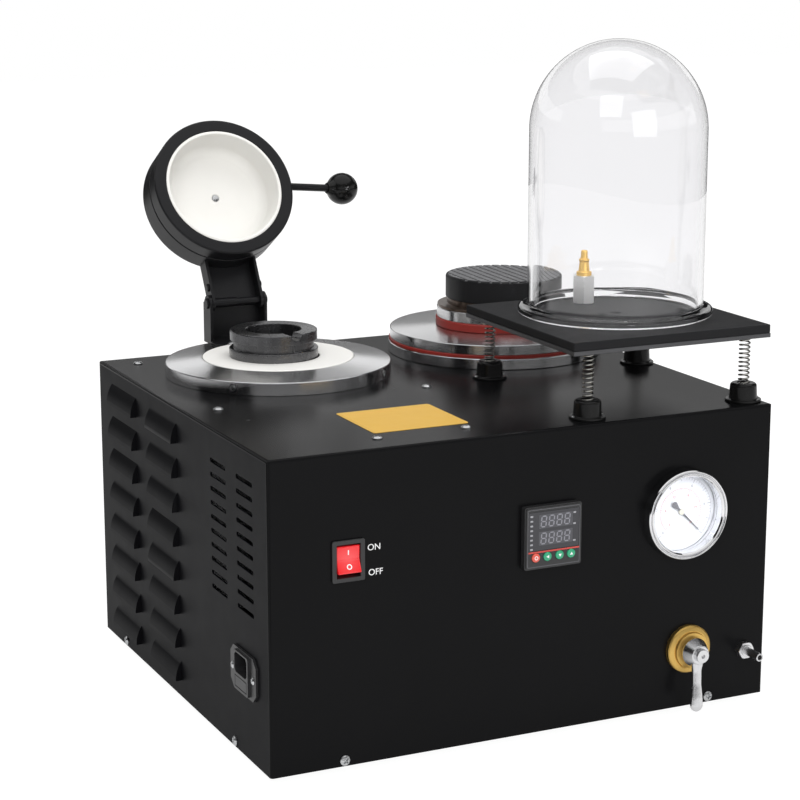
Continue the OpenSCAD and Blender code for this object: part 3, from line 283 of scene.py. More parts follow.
def soften(profile: Sequence[Point], radius: Number | Sequence[Number], steps: int = 4, loop: bool = False) -> Array:
    """Rounds a polyline's corners: each becomes an arc, (sin((1-s)w) a + sin(sw) b) / sin(w) from its centre.

    Args:
        profile: corner points.
        radius: one radius, or one for each corner.
        steps: points of an arc less one.
        loop: whether the polyline is closed.

    Returns:
        The points of the rounded polyline.
    """
    p = np.asarray(profile, float)
    radii = np.broadcast_to(np.asarray(radius, float), len(p))
    before, after = np.roll(p, 1, 0) - p, np.roll(p, -1, 0) - p
    len_b, len_a = np.linalg.norm(before, axis=1), np.linalg.norm(after, axis=1)
    ub, ua = before / len_b[:, None], after / len_a[:, None]
    half = np.arccos(np.clip((ub * ua).sum(1), -1, 1)) / 2
    straight = half > QUARTER_TURN - 0.02
    reach = np.minimum(radii / np.tan(np.clip(half, 0.05, 1.5)), 0.49 * np.minimum(len_a, len_b))
    reach = np.where(straight, 1e-6, np.maximum(reach, 1e-6))
    start, end = p + ub * reach[:, None], p + ua * reach[:, None]
    middle = ub + ua
    middle /= np.maximum(np.linalg.norm(middle, axis=1), 1e-9)[:, None]
    centre = p + middle * (reach / np.cos(np.clip(half, 0, 1.55)))[:, None]
    a, b = start - centre, end - centre
    w = math.pi - 2 * half
    s = np.linspace(0, 1, steps + 1)[None, :, None]
    sw = np.maximum(np.sin(w), 1e-6)[:, None, None]
    arcs = centre[:, None] + (np.sin((1 - s) * w[:, None, None]) * a[:, None]
                              + np.sin(s * w[:, None, None]) * b[:, None]) / sw
    arcs[straight] = p[straight][:, None]
    keep = radii > 0
    pieces = [arcs[k] if keep[k] and (loop or 0 < k < len(p) - 1) and not straight[k] else p[k:k + 1]
              for k in range(len(p))]
    return np.vstack(pieces)


def revolve(profile: Sequence[Point] | Array, segments: int = 128, loop: bool = False) -> Shell:
    """Turns a profile about +Z: point (r, h) at angle a goes to (r cos a, r sin a, h).

    Args:
        profile: radius and height of each point.
        segments: columns round the axis.
        loop: whether the profile is closed, as on a ring.

    Returns:
        The closed shell.
    """
    p = np.asarray(profile, float)
    a = np.linspace(0, FULL_TURN, segments, endpoint=False)
    grid = np.stack([np.outer(p[:, 0], np.cos(a)), np.outer(p[:, 0], np.sin(a)),
                     np.repeat(p[:, 1:], segments, 1)], -1)
    return skin(grid, Ends.LOOP if loop else Ends.CAPS)


def turned(corners: Sequence[Point], radii: Number | Sequence[Number], steps: int = 4, segments: int = 160,
           loop: bool = False) -> Shell:
    """A lathe-turned piece: a section with rounded corners, revolved about +Z."""
    return revolve(soften(corners, radii, steps, loop), segments, loop)


def inset(outline: Array, depth: Number) -> Array:
    """Moves a closed outline inwards along its mitres, (n1 + n2) / (1 + n1 . n2) times the depth.

    Args:
        outline: points, anticlockwise.
        depth: how far inwards.

    Returns:
        The moved points.
    """
    edge = np.roll(outline, -1, 0) - outline
    edge /= np.maximum(np.linalg.norm(edge, axis=1), 1e-9)[:, None]
    normal = np.stack([-edge[:, 1], edge[:, 0]], -1)
    last = np.roll(normal, 1, 0)
    share = np.maximum(1 + (normal * last).sum(1), 0.3)[:, None]
    return outline + depth * (normal + last) / share


def stack(rows: Iterable[tuple[Array, float]], ends: Ends = Ends.CAPS) -> Shell:
    """A shell through outlines of equal count, each at its height.

    Args:
        rows: outline and height of each row.
        ends: how the first and last rows are closed.

    Returns:
        The shell.
    """
    grid = np.stack([np.column_stack([o, np.full(len(o), h)]) for o, h in rows])
    return skin(grid, ends)


def prism(outline: Array, low: float, high: float, edge: float = 0.4, steps: int = 3) -> Shell:
    """A plate with rounded edges: at quarter angle t its outline is inset by e (1 - sin t), e (1 - cos t) high.

    Args:
        outline: points, anticlockwise.
        low: height of the lower face.
        high: height of the upper face.
        edge: radius of the edges.
        steps: rows of each edge less one.

    Returns:
        The closed shell.
    """
    t = np.linspace(0, QUARTER_TURN, steps + 1)
    inner, rise = edge * (1 - np.sin(t)), edge * (1 - np.cos(t))
    rows = [(inset(outline, i), low + r) for i, r in zip(inner, rise)]
    rows += [(inset(outline, i), high - r) for i, r in zip(inner[::-1], rise[::-1])]
    return stack(rows)


def box_outline(w: float, h: float, r: float = 1.0, steps: int = 6) -> Array:
    """Anticlockwise rectangle with rounded corners, centred."""
    return soften([(-w / 2, -h / 2), (w / 2, -h / 2), (w / 2, h / 2), (-w / 2, h / 2)], r, steps, loop=True)


def toward(outline: Array, r: float) -> Array:
    """The outline's points moved to a circle of radius r, along their own directions."""
    return outline / np.linalg.norm(outline, axis=1)[:, None] * r


def within(outline: Array, r: float) -> Array:
    """The outline with the points that lie past a circle of radius r drawn back to it."""
    return outline * np.minimum(1, r / np.linalg.norm(outline, axis=1)[:, None])


def hexagon(across: float, per_side: int = 8) -> Array:
    """Hexagon of a width across flats, with points along its sides.

    Args:
        across: its width across flats.
        per_side: how many points each side has.

    Returns:
        Its outline, counter-clockwise.
    """
    a = np.linspace(0, FULL_TURN, 6, endpoint=False)
    corners = across / math.sqrt(3) * np.stack([np.cos(a), np.sin(a)], -1)
    share = np.linspace(0, 1, per_side, endpoint=False)[None, :, None]
    return (corners[:, None] * (1 - share) + np.roll(corners, -1, 0)[:, None] * share).reshape(-1, 2)


def tube(path: Array, out: Array, radius: float, sides: int = 10) -> Shell:
    """A round wire: at each path point p the ring is p + r (cos s . out + sin s . (tangent x out)).

    Args:
        path: points along the middle.
        out: a direction square to the path at each point.
        radius: radius of the wire.
        sides: points of a ring.

    Returns:
        The closed shell.
    """
    ahead = np.gradient(path, axis=0)
    ahead /= np.linalg.norm(ahead, axis=1)[:, None]
    out = out - ahead * (out * ahead).sum(1)[:, None]
    out /= np.linalg.norm(out, axis=1)[:, None]
    side = np.cross(ahead, out)
    s = np.linspace(0, FULL_TURN, sides, endpoint=False)
    grid = path[:, None] + radius * (np.cos(s)[None, :, None] * out[:, None] + np.sin(s)[None, :, None] * side[:, None])
    return skin(grid)


def copies(shell: Shell, places: Iterable[Place]) -> Shell:
    """The shell repeated at every place."""
    return joined(shell.moved(place) for place in places)


def bars(length: float, width: float, height: float, places: Iterable[Place]) -> Shell:
    """Thin flat bars along +X from each place, for printed lines and ticks."""
    outline = np.array([(0, -width / 2), (length, -width / 2), (length, width / 2), (0, width / 2)], float)
    return copies(stack([(outline, 0.0), (outline, height)]), places)


def lettering(text: str, size: float, thick: float = 0.12) -> Shell:
    """Letters as a thin plate, centred, from the built-in typeface.

    Args:
        text: the letters.
        size: height of the line.
        thick: thickness of the plate.

    Returns:
        The letters' shell, on the plane z = 0.
    """
    curve = bpy.data.curves.new("letters", "FONT")
    curve.body, curve.size, curve.extrude = text, 1.0, 0.5
    curve.align_x, curve.align_y = "CENTER", "CENTER"
    carrier = bpy.data.objects.new("letters", curve)
    mesh = bpy.data.meshes.new_from_object(carrier)
    points = np.empty(len(mesh.vertices) * 3, np.float32)
    mesh.vertices.foreach_get("co", points)
    faces = [list(p.vertices) for p in mesh.polygons]
    bpy.data.objects.remove(carrier)
    bpy.data.curves.remove(curve)
    bpy.data.meshes.remove(mesh)
    points = points.reshape(-1, 3).astype(float) * (size, size, thick) + (0, 0, thick / 2)
    return Shell(points, faces)


# ---------- shading ----------


class Num:
    """A number in a shader: Python's operators on it add Math nodes."""

    def __init__(self, shade: "Shade", socket: bpy.types.NodeSocket) -> None:
        """Holds the socket and the shade that it belongs to."""
        self.shade, self.socket = shade, socket

    def op(self, operation: str, *values: "Num | Number") -> "Num":
        """Adds one Math node on these values."""
        made = self.shade.node("Math", {"operation": operation}, dict(enumerate(values)))
        return Num(self.shade, made.outputs[0])

    def __add__(self, other: "Num | Number") -> "Num":
        """This plus other."""
        return self.op("ADD", self, other)

    def __sub__(self, other: "Num | Number") -> "Num":
        """This less other."""
        return self.op("SUBTRACT", self, other)

    def __rsub__(self, other: Number) -> "Num":
        """Other less this."""
        return self.op("SUBTRACT", other, self)

    def __mul__(self, other: "Num | Number") -> "Num":
        """This times other."""
        return self.op("MULTIPLY", self, other)

    def __pow__(self, other: "Num | Number") -> "Num":
        """This to the power of other."""
        return self.op("POWER", self, other)

    __radd__ = __add__
    __rmul__ = __mul__

    def clamp(self) -> "Num":
        """This held between 0 and 1."""
        return self.op("MAXIMUM", self.op("MINIMUM", self, 1.0), 0.0)


class Shade:
    """The nodes of one material, or of the surround."""

    def __init__(self, owner: bpy.types.Material | bpy.types.World) -> None:
        """Empties the owner's nodes.

        Args:
            owner: the material or the world that the nodes belong to.
        """
        self.owner = owner
        owner.use_nodes = True
        self.tree = owner.node_tree
        self.tree.nodes.clear()

    @classmethod
    def named(cls, name: str) -> "Shade":
        """The empty nodes of a new material."""
        return cls(bpy.data.materials.new(name))

    def node(self, kind: str, settings: dict | None = None, values: dict | None = None) -> bpy.types.Node:
        """Adds a node.

        Args:
            kind: the node's type without its prefix.
            settings: its properties, set first.
            values: numbers, colours or links for its sockets, by name or index.

        Returns:
            The node.
        """
        made = self.tree.nodes.new("ShaderNode" + kind)
        for key, value in (settings or {}).items():
            setattr(made, key, value)
        for key, value in (values or {}).items():
            socket = value.socket if isinstance(value, Num) else value
            if isinstance(socket, bpy.types.NodeSocket):
                self.tree.links.new(socket, made.inputs[key])
            else:
                made.inputs[key].default_value = socket
        return made

    def place(self, shift: Sequence[float] = (0, 0, 0)) -> bpy.types.NodeSocket:
        """Object coordinates less a shift in millimetres.

        Args:
            shift: the point that becomes the origin.

        Returns:
            The socket of the moved coordinates.
        """
        metres = tuple(c * METRE for c in shift)
        spot = self.node("TexCoord").outputs["Object"]
        return self.node("VectorMath", {"operation": "SUBTRACT"}, {0: spot, 1: metres}).outputs[0]

    def noise(self, size: float, detail: float) -> Num:
        """Cloudy pattern whose features are about the given size in millimetres.

        Args:
            size: size of its features.
            detail: how many finer layers it has.

        Returns:
            The pattern, from 0 to 1.
        """
        made = self.node("TexNoise", {"noise_dimensions": "3D"},
                         {"Vector": self.place(), "Scale": PER_METRE / size, "Detail": detail, "Roughness": 0.55})
        return Num(self, made.outputs[0])

    def axis(self, vector: bpy.types.NodeSocket, index: int) -> Num:
        """One coordinate of a vector."""
        return Num(self, self.node("SeparateXYZ", None, {0: vector}).outputs[index])

    def blend(self, share: Num, a: Sequence[float], b: Sequence[float]) -> bpy.types.NodeSocket:
        """Colour that goes from a to b as share goes from 0 to 1."""
        return self.node("Mix", {"data_type": "RGBA"}, {0: share, 6: (*a, 1.0), 7: (*b, 1.0)}).outputs[2]

    def bump(self, height: Num) -> bpy.types.NodeSocket:
        """Normal of a surface whose height is given in millimetres."""
        return self.node("Bump", None, {"Strength": 1.0, "Distance": METRE, "Height": height}).outputs[0]

    def close(self, surface: bpy.types.NodeSocket) -> bpy.types.Material:
        """Ends the material with this surface."""
        self.node("OutputMaterial", None, {"Surface": surface})
        return self.owner


# Materials made so far, by name
MADE: dict[str, bpy.types.Material] = {}


def tint(colour: Sequence[float], share: float) -> tuple[float, float, float]:
    """The colour made lighter or darker by a share."""
    return tuple(min(1.0, c * (1 + share)) for c in colour)


@dataclass(frozen=True)
class Finish:
    """A surface whose colour and gloss drift a little and whose skin has a fine grain.

    Sizes are millimetres. Axis is a point on the upright middle line of a lathe-turned piece, where there is one.
    """

    name: str
    colour: tuple[float, float, float]
    rough: float = 0.4
    metal: float = 0.0
    specular: float = 0.5
    coat: float = 0.0
    stretch: float = 0.0
    turned: float = 0.0
    drift: float = 0.12
    drift_size: float = 40.0
    gloss_drift: float = 0.06
    grain: float = 0.0
    grain_size: float = 0.8
    axis: tuple[float, float, float] | None = None
    ring_pitch: float = 0.5
    ring_depth: float = 0.0

    def pattern(self, shade: Shade) -> dict:
        """Colour, roughness and normal that vary over the surface.

        Args:
            shade: the material being made.

        Returns:
            Links for the shader's sockets, by name.
        """
        cloud = shade.noise(self.drift_size, 4.0)
        links = {
            "Base Color": shade.blend(cloud.clamp(), tint(self.colour, -self.drift), tint(self.colour, self.drift)),
            "Roughness": (shade.noise(self.drift_size * GLOSS_CLOUD, 5.0) - 0.5) * (2 * self.gloss_drift) + self.rough,
        }
        height = None
        if self.grain > 0:
            height = (shade.noise(self.grain_size, 2.0) - 0.5) * self.grain
        if self.ring_depth > 0 and self.axis is not None:
            rings = self.rings(shade) * self.ring_depth
            height = rings if height is None else height + rings
        if height is not None:
            links["Normal"] = shade.bump(height)
        return links

    def rings(self, shade: Shade) -> Num:
        """Tool marks: noise in the distance from the axis and the height along it, the same all the way round.

        Args:
            shade: the material being made.

        Returns:
            The marks' height, from 0 to 1.
        """
        spot = shade.place(self.axis)
        x, y, z = (shade.axis(spot, k) for k in range(3))
        reach = (x * x + y * y) ** 0.5
        line = shade.node("CombineXYZ", None, {0: reach * PER_METRE, 1: z * PER_METRE, 2: 0.0}).outputs[0]
        marks = shade.node("TexNoise", {"noise_dimensions": "2D"},
                           {"Vector": line, "Scale": 1.0 / self.ring_pitch, "Detail": 2.0})
        return Num(shade, marks.outputs[0])

    def constants(self) -> dict:
        """Values that are the same all over, for the shader's own sockets."""
        return {"Metallic": self.metal, "Specular IOR Level": self.specular, "Coat Weight": self.coat,
                "Coat Roughness": COAT_ROUGH, "Anisotropic": self.stretch, "Anisotropic Rotation": self.turned}

    def material(self) -> bpy.types.Material:
        """The finished material, made once for each name.

        Returns:
            The material, with all its nodes.
        """
        if self.name not in MADE:
            shade = Shade.named(self.name)
            values = {**self.constants(), **self.pattern(shade)}
            MADE[self.name] = shade.close(shade.node("BsdfPrincipled", None, values).outputs[0])
        return MADE[self.name]


@dataclass(frozen=True)
class Glass(Finish):
    """Clear glass."""

    def constants(self) -> dict:
        """Glass passes light."""
        return {"Transmission Weight": 1.0, "IOR": 1.46, "Metallic": 0.0}

    def pattern(self, shade: Shade) -> dict:
        """A clean tint that drifts a very little, and one gloss all over.

        Args:
            shade: the material being made.

        Returns:
            Values for the sockets of its main shader.
        """
        cloud = shade.noise(self.drift_size, 2.0)
        return {"Base Color": shade.blend(cloud.clamp(), tint(self.colour, -0.006), self.colour),
                "Roughness": self.rough}


@dataclass(frozen=True)
class Lit(Finish):
    """Coloured plastic with a painted glow: its emission, paler about its middle, is painted light, not a lamp."""

    glow: float = 0.2
    centre: tuple[float, float, float] = (0, 0, 0)
    reach: float = 12.0

    def pattern(self, shade: Shade) -> dict:
        """Adds a painted glow: a soft spot of emitted light that fades with distance from the centre.

        Args:
            shade: the material being made.

        Returns:
            Values for the sockets of its main shader.
        """
        links = super().pattern(shade)
        spot = shade.place(self.centre)
        length = Num(shade, shade.node("VectorMath", {"operation": "LENGTH"}, {0: spot}).outputs["Value"])
        near = (1 - length * (PER_METRE / self.reach)).clamp()
        painted_glow_colour = tuple(min(1.0, 0.35 + c) for c in self.colour)
        # Painted glow: the emission colour pales towards the centre.
        links["Emission Color"] = shade.blend(near, self.colour, painted_glow_colour)
        return links

    def constants(self) -> dict:
        """Adds the strength of the painted glow."""
        return {**super().constants(), "Emission Strength": self.glow}


# Every finish of the machine: name, colour and roughness, then what sets it apart
BLACK_COAT = Finish("black_powder_coat", (0.0042, 0.0042, 0.0046), 0.27, specular=0.08, grain=0.002, grain_size=1.1,
                    drift_size=60, gloss_drift=0.008)
SIDE_COAT = Finish("side_powder_coat", (0.0060, 0.0060, 0.0070), 0.42, specular=0.035, grain=0.005, grain_size=1.1,
                   drift_size=60, gloss_drift=0.05)
BLACK_SATIN = Finish("black_satin_steel", (0.008, 0.008, 0.009), 0.36, specular=0.3, grain=0.006, grain_size=0.7)
FEET_RUBBER = Finish("feet_rubber", (0.018, 0.018, 0.018), 0.7, grain=0.03, grain_size=0.6)
ZINC = Finish("zinc_screws", (0.62, 0.63, 0.64), 0.28, metal=1.0, grain=0.004, grain_size=0.5)
RING_CHROME = Finish("chrome_furnace", (0.78, 0.78, 0.79), 0.22, metal=1.0, stretch=0.85, turned=0.25, drift=0.01,
                     gloss_drift=0.008, axis=(*FURNACE, DECK), ring_pitch=0.35, ring_depth=0.0012)
CHAMBER_CHROME = Finish("chrome_chamber", (0.78, 0.78, 0.79), 0.20, metal=1.0, stretch=0.85, turned=0.25, drift=0.01,
                        gloss_drift=0.008, axis=(*CHAMBER, DECK), ring_pitch=0.35, ring_depth=0.0012)
BEZEL_CHROME = Finish("chrome_bezel", (0.82, 0.82, 0.83), 0.10, metal=1.0, drift=0.03, gloss_drift=0.02,
                      grain=0.002, grain_size=1.5)
CAST_CHROME = Finish("cast_chrome", (0.74, 0.74, 0.75), 0.26, metal=1.0, drift=0.05, gloss_drift=0.05,
                     grain=0.02, grain_size=4.0)
PLATED = Finish("plated_fitting", (0.74, 0.74, 0.75), 0.30, metal=1.0, drift=0.05, drift_size=4)
CERAMIC = Finish("ceramic", (0.72, 0.71, 0.685), 0.62, drift=0.04, drift_size=30, grain=0.02, grain_size=0.7)
LINING = Finish("lid_ceramic", (0.72, 0.71, 0.68), 0.55, drift=0.03, drift_size=25, grain=0.05, grain_size=2.0)
FIBRE = Finish("fibre", (0.70, 0.64, 0.52), 0.9, drift=0.12, drift_size=8, grain=0.4, grain_size=1.5)
GRAPHITE = Finish("graphite", (0.15, 0.15, 0.155), 0.28, metal=0.95, stretch=0.7, turned=0.25, drift=0.15,
                  drift_size=6, gloss_drift=0.04, grain=0.001, grain_size=0.4, axis=(*CRUCIBLE, DECK),
                  ring_pitch=0.5, ring_depth=0.0015)
RAW_STEEL = Finish("raw_steel", (0.42, 0.42, 0.43), 0.42, metal=1.0, drift=0.12, grain=0.004, grain_size=0.4)
RESISTANCE = Finish("resistance_wire", (0.30, 0.20, 0.14), 0.5, metal=0.8, drift=0.3, drift_size=4)
RED_RUBBER = Finish("red_rubber", (0.26, 0.022, 0.016), 0.42, drift=0.15, drift_size=12, grain=0.01, grain_size=0.5)
BRONZE = Finish("bronzed_ring", (0.14, 0.105, 0.085), 0.30, metal=0.9, stretch=0.6, turned=0.25, drift=0.3,
                drift_size=10, axis=(*CHAMBER, DECK), ring_pitch=0.5, ring_depth=0.003)
PAD = Finish("dark_pad", (0.010, 0.010, 0.011), 0.45, specular=0.25, drift=0.2, grain=0.02, grain_size=0.6)
# The cap's top face: the pad's black painted lighter grey, a painted sheen where the top catches the light.
PAD_TOP_PAINTED_SHEEN = Finish("pad_top_painted_sheen", (0.12, 0.12, 0.125), 0.5, specular=0.3, drift=0.25, drift_size=6, grain=0.03,
                 grain_size=0.4)
MAT_RUBBER = Finish("black_rubber", (0.014, 0.014, 0.015), 0.62, specular=0.12, drift=0.15, grain=0.04,
                    grain_size=0.5)
TABLE_STEEL = Finish("table_steel", (0.10, 0.10, 0.105), 0.34, metal=0.8, drift=0.12, grain=0.004, grain_size=0.6)
GLOSS_BLACK = Finish("gloss_black", (0.005, 0.005, 0.005), 0.24, specular=0.3, drift=0.1, grain=0.001,
                     grain_size=1.5)
SPRING_STEEL = Finish("spring_steel", (0.50, 0.49, 0.46), 0.22, metal=1.0, drift=0.1, drift_size=3)
BLACK_PLASTIC = Finish("black_plastic", (0.020, 0.020, 0.021), 0.38, grain=0.012, grain_size=0.5)
PANE = Finish("display_pane", (0.060, 0.060, 0.068), 0.3, drift=0.08, drift_size=10)
HUB = Finish("cream_hub", (0.70, 0.68, 0.58), 0.35, drift=0.05, drift_size=3)
EDGE_GREY = Finish("bezel_line", (0.10, 0.10, 0.11), 0.35, drift=0.1)
WINDOW = Finish("window", (0.024, 0.024, 0.029), 0.16, coat=0.2, drift=0.1, drift_size=20)
SEGMENT = Finish("display_segment", (0.24, 0.24, 0.27), 0.3, drift=0.05)
MARK = Finish("grey_marks", (0.32, 0.32, 0.34), 0.5, drift=0.05)
WHITE_INK = Finish("white_ink", (0.80, 0.80, 0.80), 0.5, drift=0.03)
# Red rocker plastic: its own red, plus a painted glow that is paler about the switch's middle.
RED_PLASTIC_PAINTED_GLOW = Lit("red_plastic", (0.62, 0.010, 0.014), 0.22, coat=0.5, drift=0.05, glow=0.22,
                  centre=(-149, FRONT - 2, 163.5), reach=11)
RED_BUTTON = Finish("red_button", (0.62, 0.09, 0.06), 0.3, coat=0.3)
RED_LINE = Finish("red_line", (0.50, 0.055, 0.045), 0.4)
GREEN_PLASTIC = Finish("green_plastic", (0.022, 0.30, 0.15), 0.3, coat=0.3)
RELAY = Finish("relay_white", (0.72, 0.72, 0.68), 0.4)
JAR_GLASS = Glass("clear_jar", (0.935, 0.933, 0.942), 0.0)
LENS_GLASS = Glass("clear_lens", (0.98, 0.99, 1.0), 0.0)
HEX_STEEL = Finish("hex_steel", (0.80, 0.80, 0.79), 0.42, metal=1.0, drift=0.06, grain=0.003, grain_size=0.5)
BRASS = Finish("brass", (0.82, 0.54, 0.16), 0.46, metal=1.0, drift=0.08, drift_size=10, grain=0.003, grain_size=0.5)
DIAL = Finish("dial_white", (0.84, 0.85, 0.90), 0.45, drift=0.02, drift_size=12)
PALE_INK = Finish("grey_ink", (0.30, 0.30, 0.34), 0.5, drift=0.05)
RED_INK = Finish("red_ink", (0.60, 0.16, 0.16), 0.5, drift=0.05)
NEEDLE = Finish("needle_black", (0.13, 0.13, 0.15), 0.40, drift=0.05)
AMBER = Finish("amber_label", (0.60, 0.36, 0.060), 0.40, specular=0.2, drift=0.05, drift_size=25, grain=0.004)


# ---------- pieces ----------


def add_piece(name: str, parts: Sequence[tuple[Shell, Finish]], body: str, nodes: Sequence[str] = (),
              sharp: float = 34.0, level: bool = True) -> bpy.types.Object:
    """Makes one Blender piece from shells in the machine's millimetres.

    Args:
        name: the piece's name.
        parts: each shell with its finish.
        body: the body that it rides on.
        nodes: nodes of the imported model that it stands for.
        sharp: edges that fold by more degrees than this stay crisp.
        level: whether large faces keep their flat shading beside small edges.

    Returns:
        The object.
    """
    mesh = bpy.data.meshes.new(name)
    whole = joined(shell for shell, _ in parts)
    mesh.from_pydata((whole.points * METRE).tolist(), [], whole.faces)
    finishes = list(dict.fromkeys(finish for _, finish in parts))
    for finish in finishes:
        mesh.materials.append(finish.material())
    index = np.concatenate([np.full(len(shell.faces), finishes.index(finish)) for shell, finish in parts])
    mesh.polygons.foreach_set("material_index", index.astype(np.int32))
    return settle(mesh, name, body, nodes, sharp, level)


def settle(mesh: bpy.types.Mesh, name: str, body: str, nodes: Sequence[str], sharp: float,
           level: bool) -> bpy.types.Object:
    """Smooths a mesh, links it, and sets what it rides on and stands for.

    Args:
        mesh: the mesh, in metres.
        name: the piece's name.
        body: the body that it rides on, or "" for none.
        nodes: nodes that it stands for.
        sharp: edges that fold by more degrees than this stay crisp.
        level: whether face areas weigh the normals.

    Returns:
        The object.
    """
    mesh.polygons.foreach_set("use_smooth", np.ones(len(mesh.polygons), bool))
    mesh.set_sharp_from_angle(angle=math.radians(sharp))
    mesh.update()
    piece = bpy.data.objects.new(name, mesh)
    bpy.context.scene.collection.objects.link(piece)
    if level:
        level_normals(piece)
    if body:
        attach(piece, body)
    if nodes:
        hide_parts(*nodes)
    LOG.info("%s: %d faces on %s", name, len(mesh.polygons), body or "two bodies")
    return piece


def level_normals(piece: bpy.types.Object) -> None:
    """Keeps large faces flat beside small ones, by normals that the faces' areas weigh."""
    normals = piece.modifiers.new("level_normals", "WEIGHTED_NORMAL")
    normals.keep_sharp, normals.weight = True, NORMAL_WEIGHT


def body_of(node: str) -> str:
    """Name of the body that carries a node."""
    bodies = frame["record"]["behaviour"]["bodies"]
    return next(name for name, members in bodies.items() if node in members)


def refine(node: str, finish: Finish, edge: float = 0.0, sharp: float = 30.0) -> bpy.types.Object:
    """A merged and smoothed copy of a node, its crisp edges broken by a small radius.

    Args:
        node: the node's name.
        finish: its finish.
        edge: radius of the broken edges in millimetres, 0 for none.
        sharp: edges that fold by more degrees than this are edges.

    Returns:
        The object that stands for the node.
    """
    shape = bmesh.new()
    shape.from_mesh(frame["nodes"][node].data)
    bmesh.ops.remove_doubles(shape, verts=shape.verts, dist=WELD_DIST)
    bmesh.ops.dissolve_limit(shape, angle_limit=math.radians(FLAT_ANGLE), verts=shape.verts, edges=shape.edges)
    mesh = bpy.data.meshes.new(node + "_look")
    shape.to_mesh(mesh)
    shape.free()
    mesh.materials.clear()
    mesh.materials.append(finish.material())
    piece = settle(mesh, node + "_look", body_of(node), (node,), sharp, False)
    if edge > 0:
        broken = piece.modifiers.new("broken_edges", "BEVEL")
        broken.width, broken.segments = edge * METRE, 2
        broken.limit_method, broken.angle_limit = "ANGLE", math.radians(sharp)
    level_normals(piece)
    return piece


def dress(node: str, finish: Finish) -> None:
    """Gives a node that stays as it is its finish.

    Args:
        node: name of the CAD node.
        finish: the finish that it gets.
    """
    slots = frame["nodes"][node].data.materials
    slots.clear()
    slots.append(finish.material())
    LOG.info("%s: finish %s", node, finish.name)


def pan_head(radius: float) -> Shell:
    """Domed screw head: its height is h (1 - 0.72 (r/R)^2.6), less a cross recess with sloping sides.

    The recess has its full depth where |x| or |y| is under a tenth of R, and r under about half of it.

    Args:
        radius: radius R of the head, of which its height h is a fixed share.

    Returns:
        The head, standing on z = 0.
    """
    height = radius * 0.55
    share = np.concatenate([[0.0], np.linspace(0.04, 0.72, 18), np.linspace(0.76, 0.985, 8), [1.0]])
    a = np.linspace(0, FULL_TURN, 80, endpoint=False)
    x, y = np.outer(share, np.cos(a)), np.outer(share, np.sin(a))
    arm = np.minimum(np.abs(x), np.abs(y))
    recess = np.clip((0.15 - arm) / 0.05, 0, 1) * np.clip((0.58 - share[:, None]) / 0.06, 0, 1)
    z = height * (1 - share[:, None] ** 2.6 * 0.72) * np.ones_like(x) - recess * height * 0.62
    top = np.stack([x * radius, y * radius, z], -1)
    rim = np.stack([x[-1:] * radius, y[-1:] * radius, np.zeros_like(x[-1:])], -1)
    return skin(np.concatenate([top, rim]))


def socket_screw(radius: float, low: float, high: float, key: float, depth: float) -> Shell:
    """Round screw end with a hexagon recess: its rows go from the rim to the hexagon, then down.

    Args:
        radius: radius of the screw.
        low: height of its hidden end.
        high: height of its face.
        key: width of the recess across flats.
        depth: depth of the recess.

    Returns:
        The screw along +Z.
    """
    key_line = hexagon(key)
    rim = toward(key_line, 1.0)
    rows = [(rim * 0.001, low), (rim * radius, low), (rim * radius, high - 0.4), (rim * (radius - 0.12), high - 0.12),
            (rim * (radius - 0.4), high), (key_line * 1.04, high), (key_line, high - 0.15),
            (key_line, high - depth), (key_line * 0.001, high - depth - 0.5)]
    return stack(rows)


# ---------- the assemblies ----------


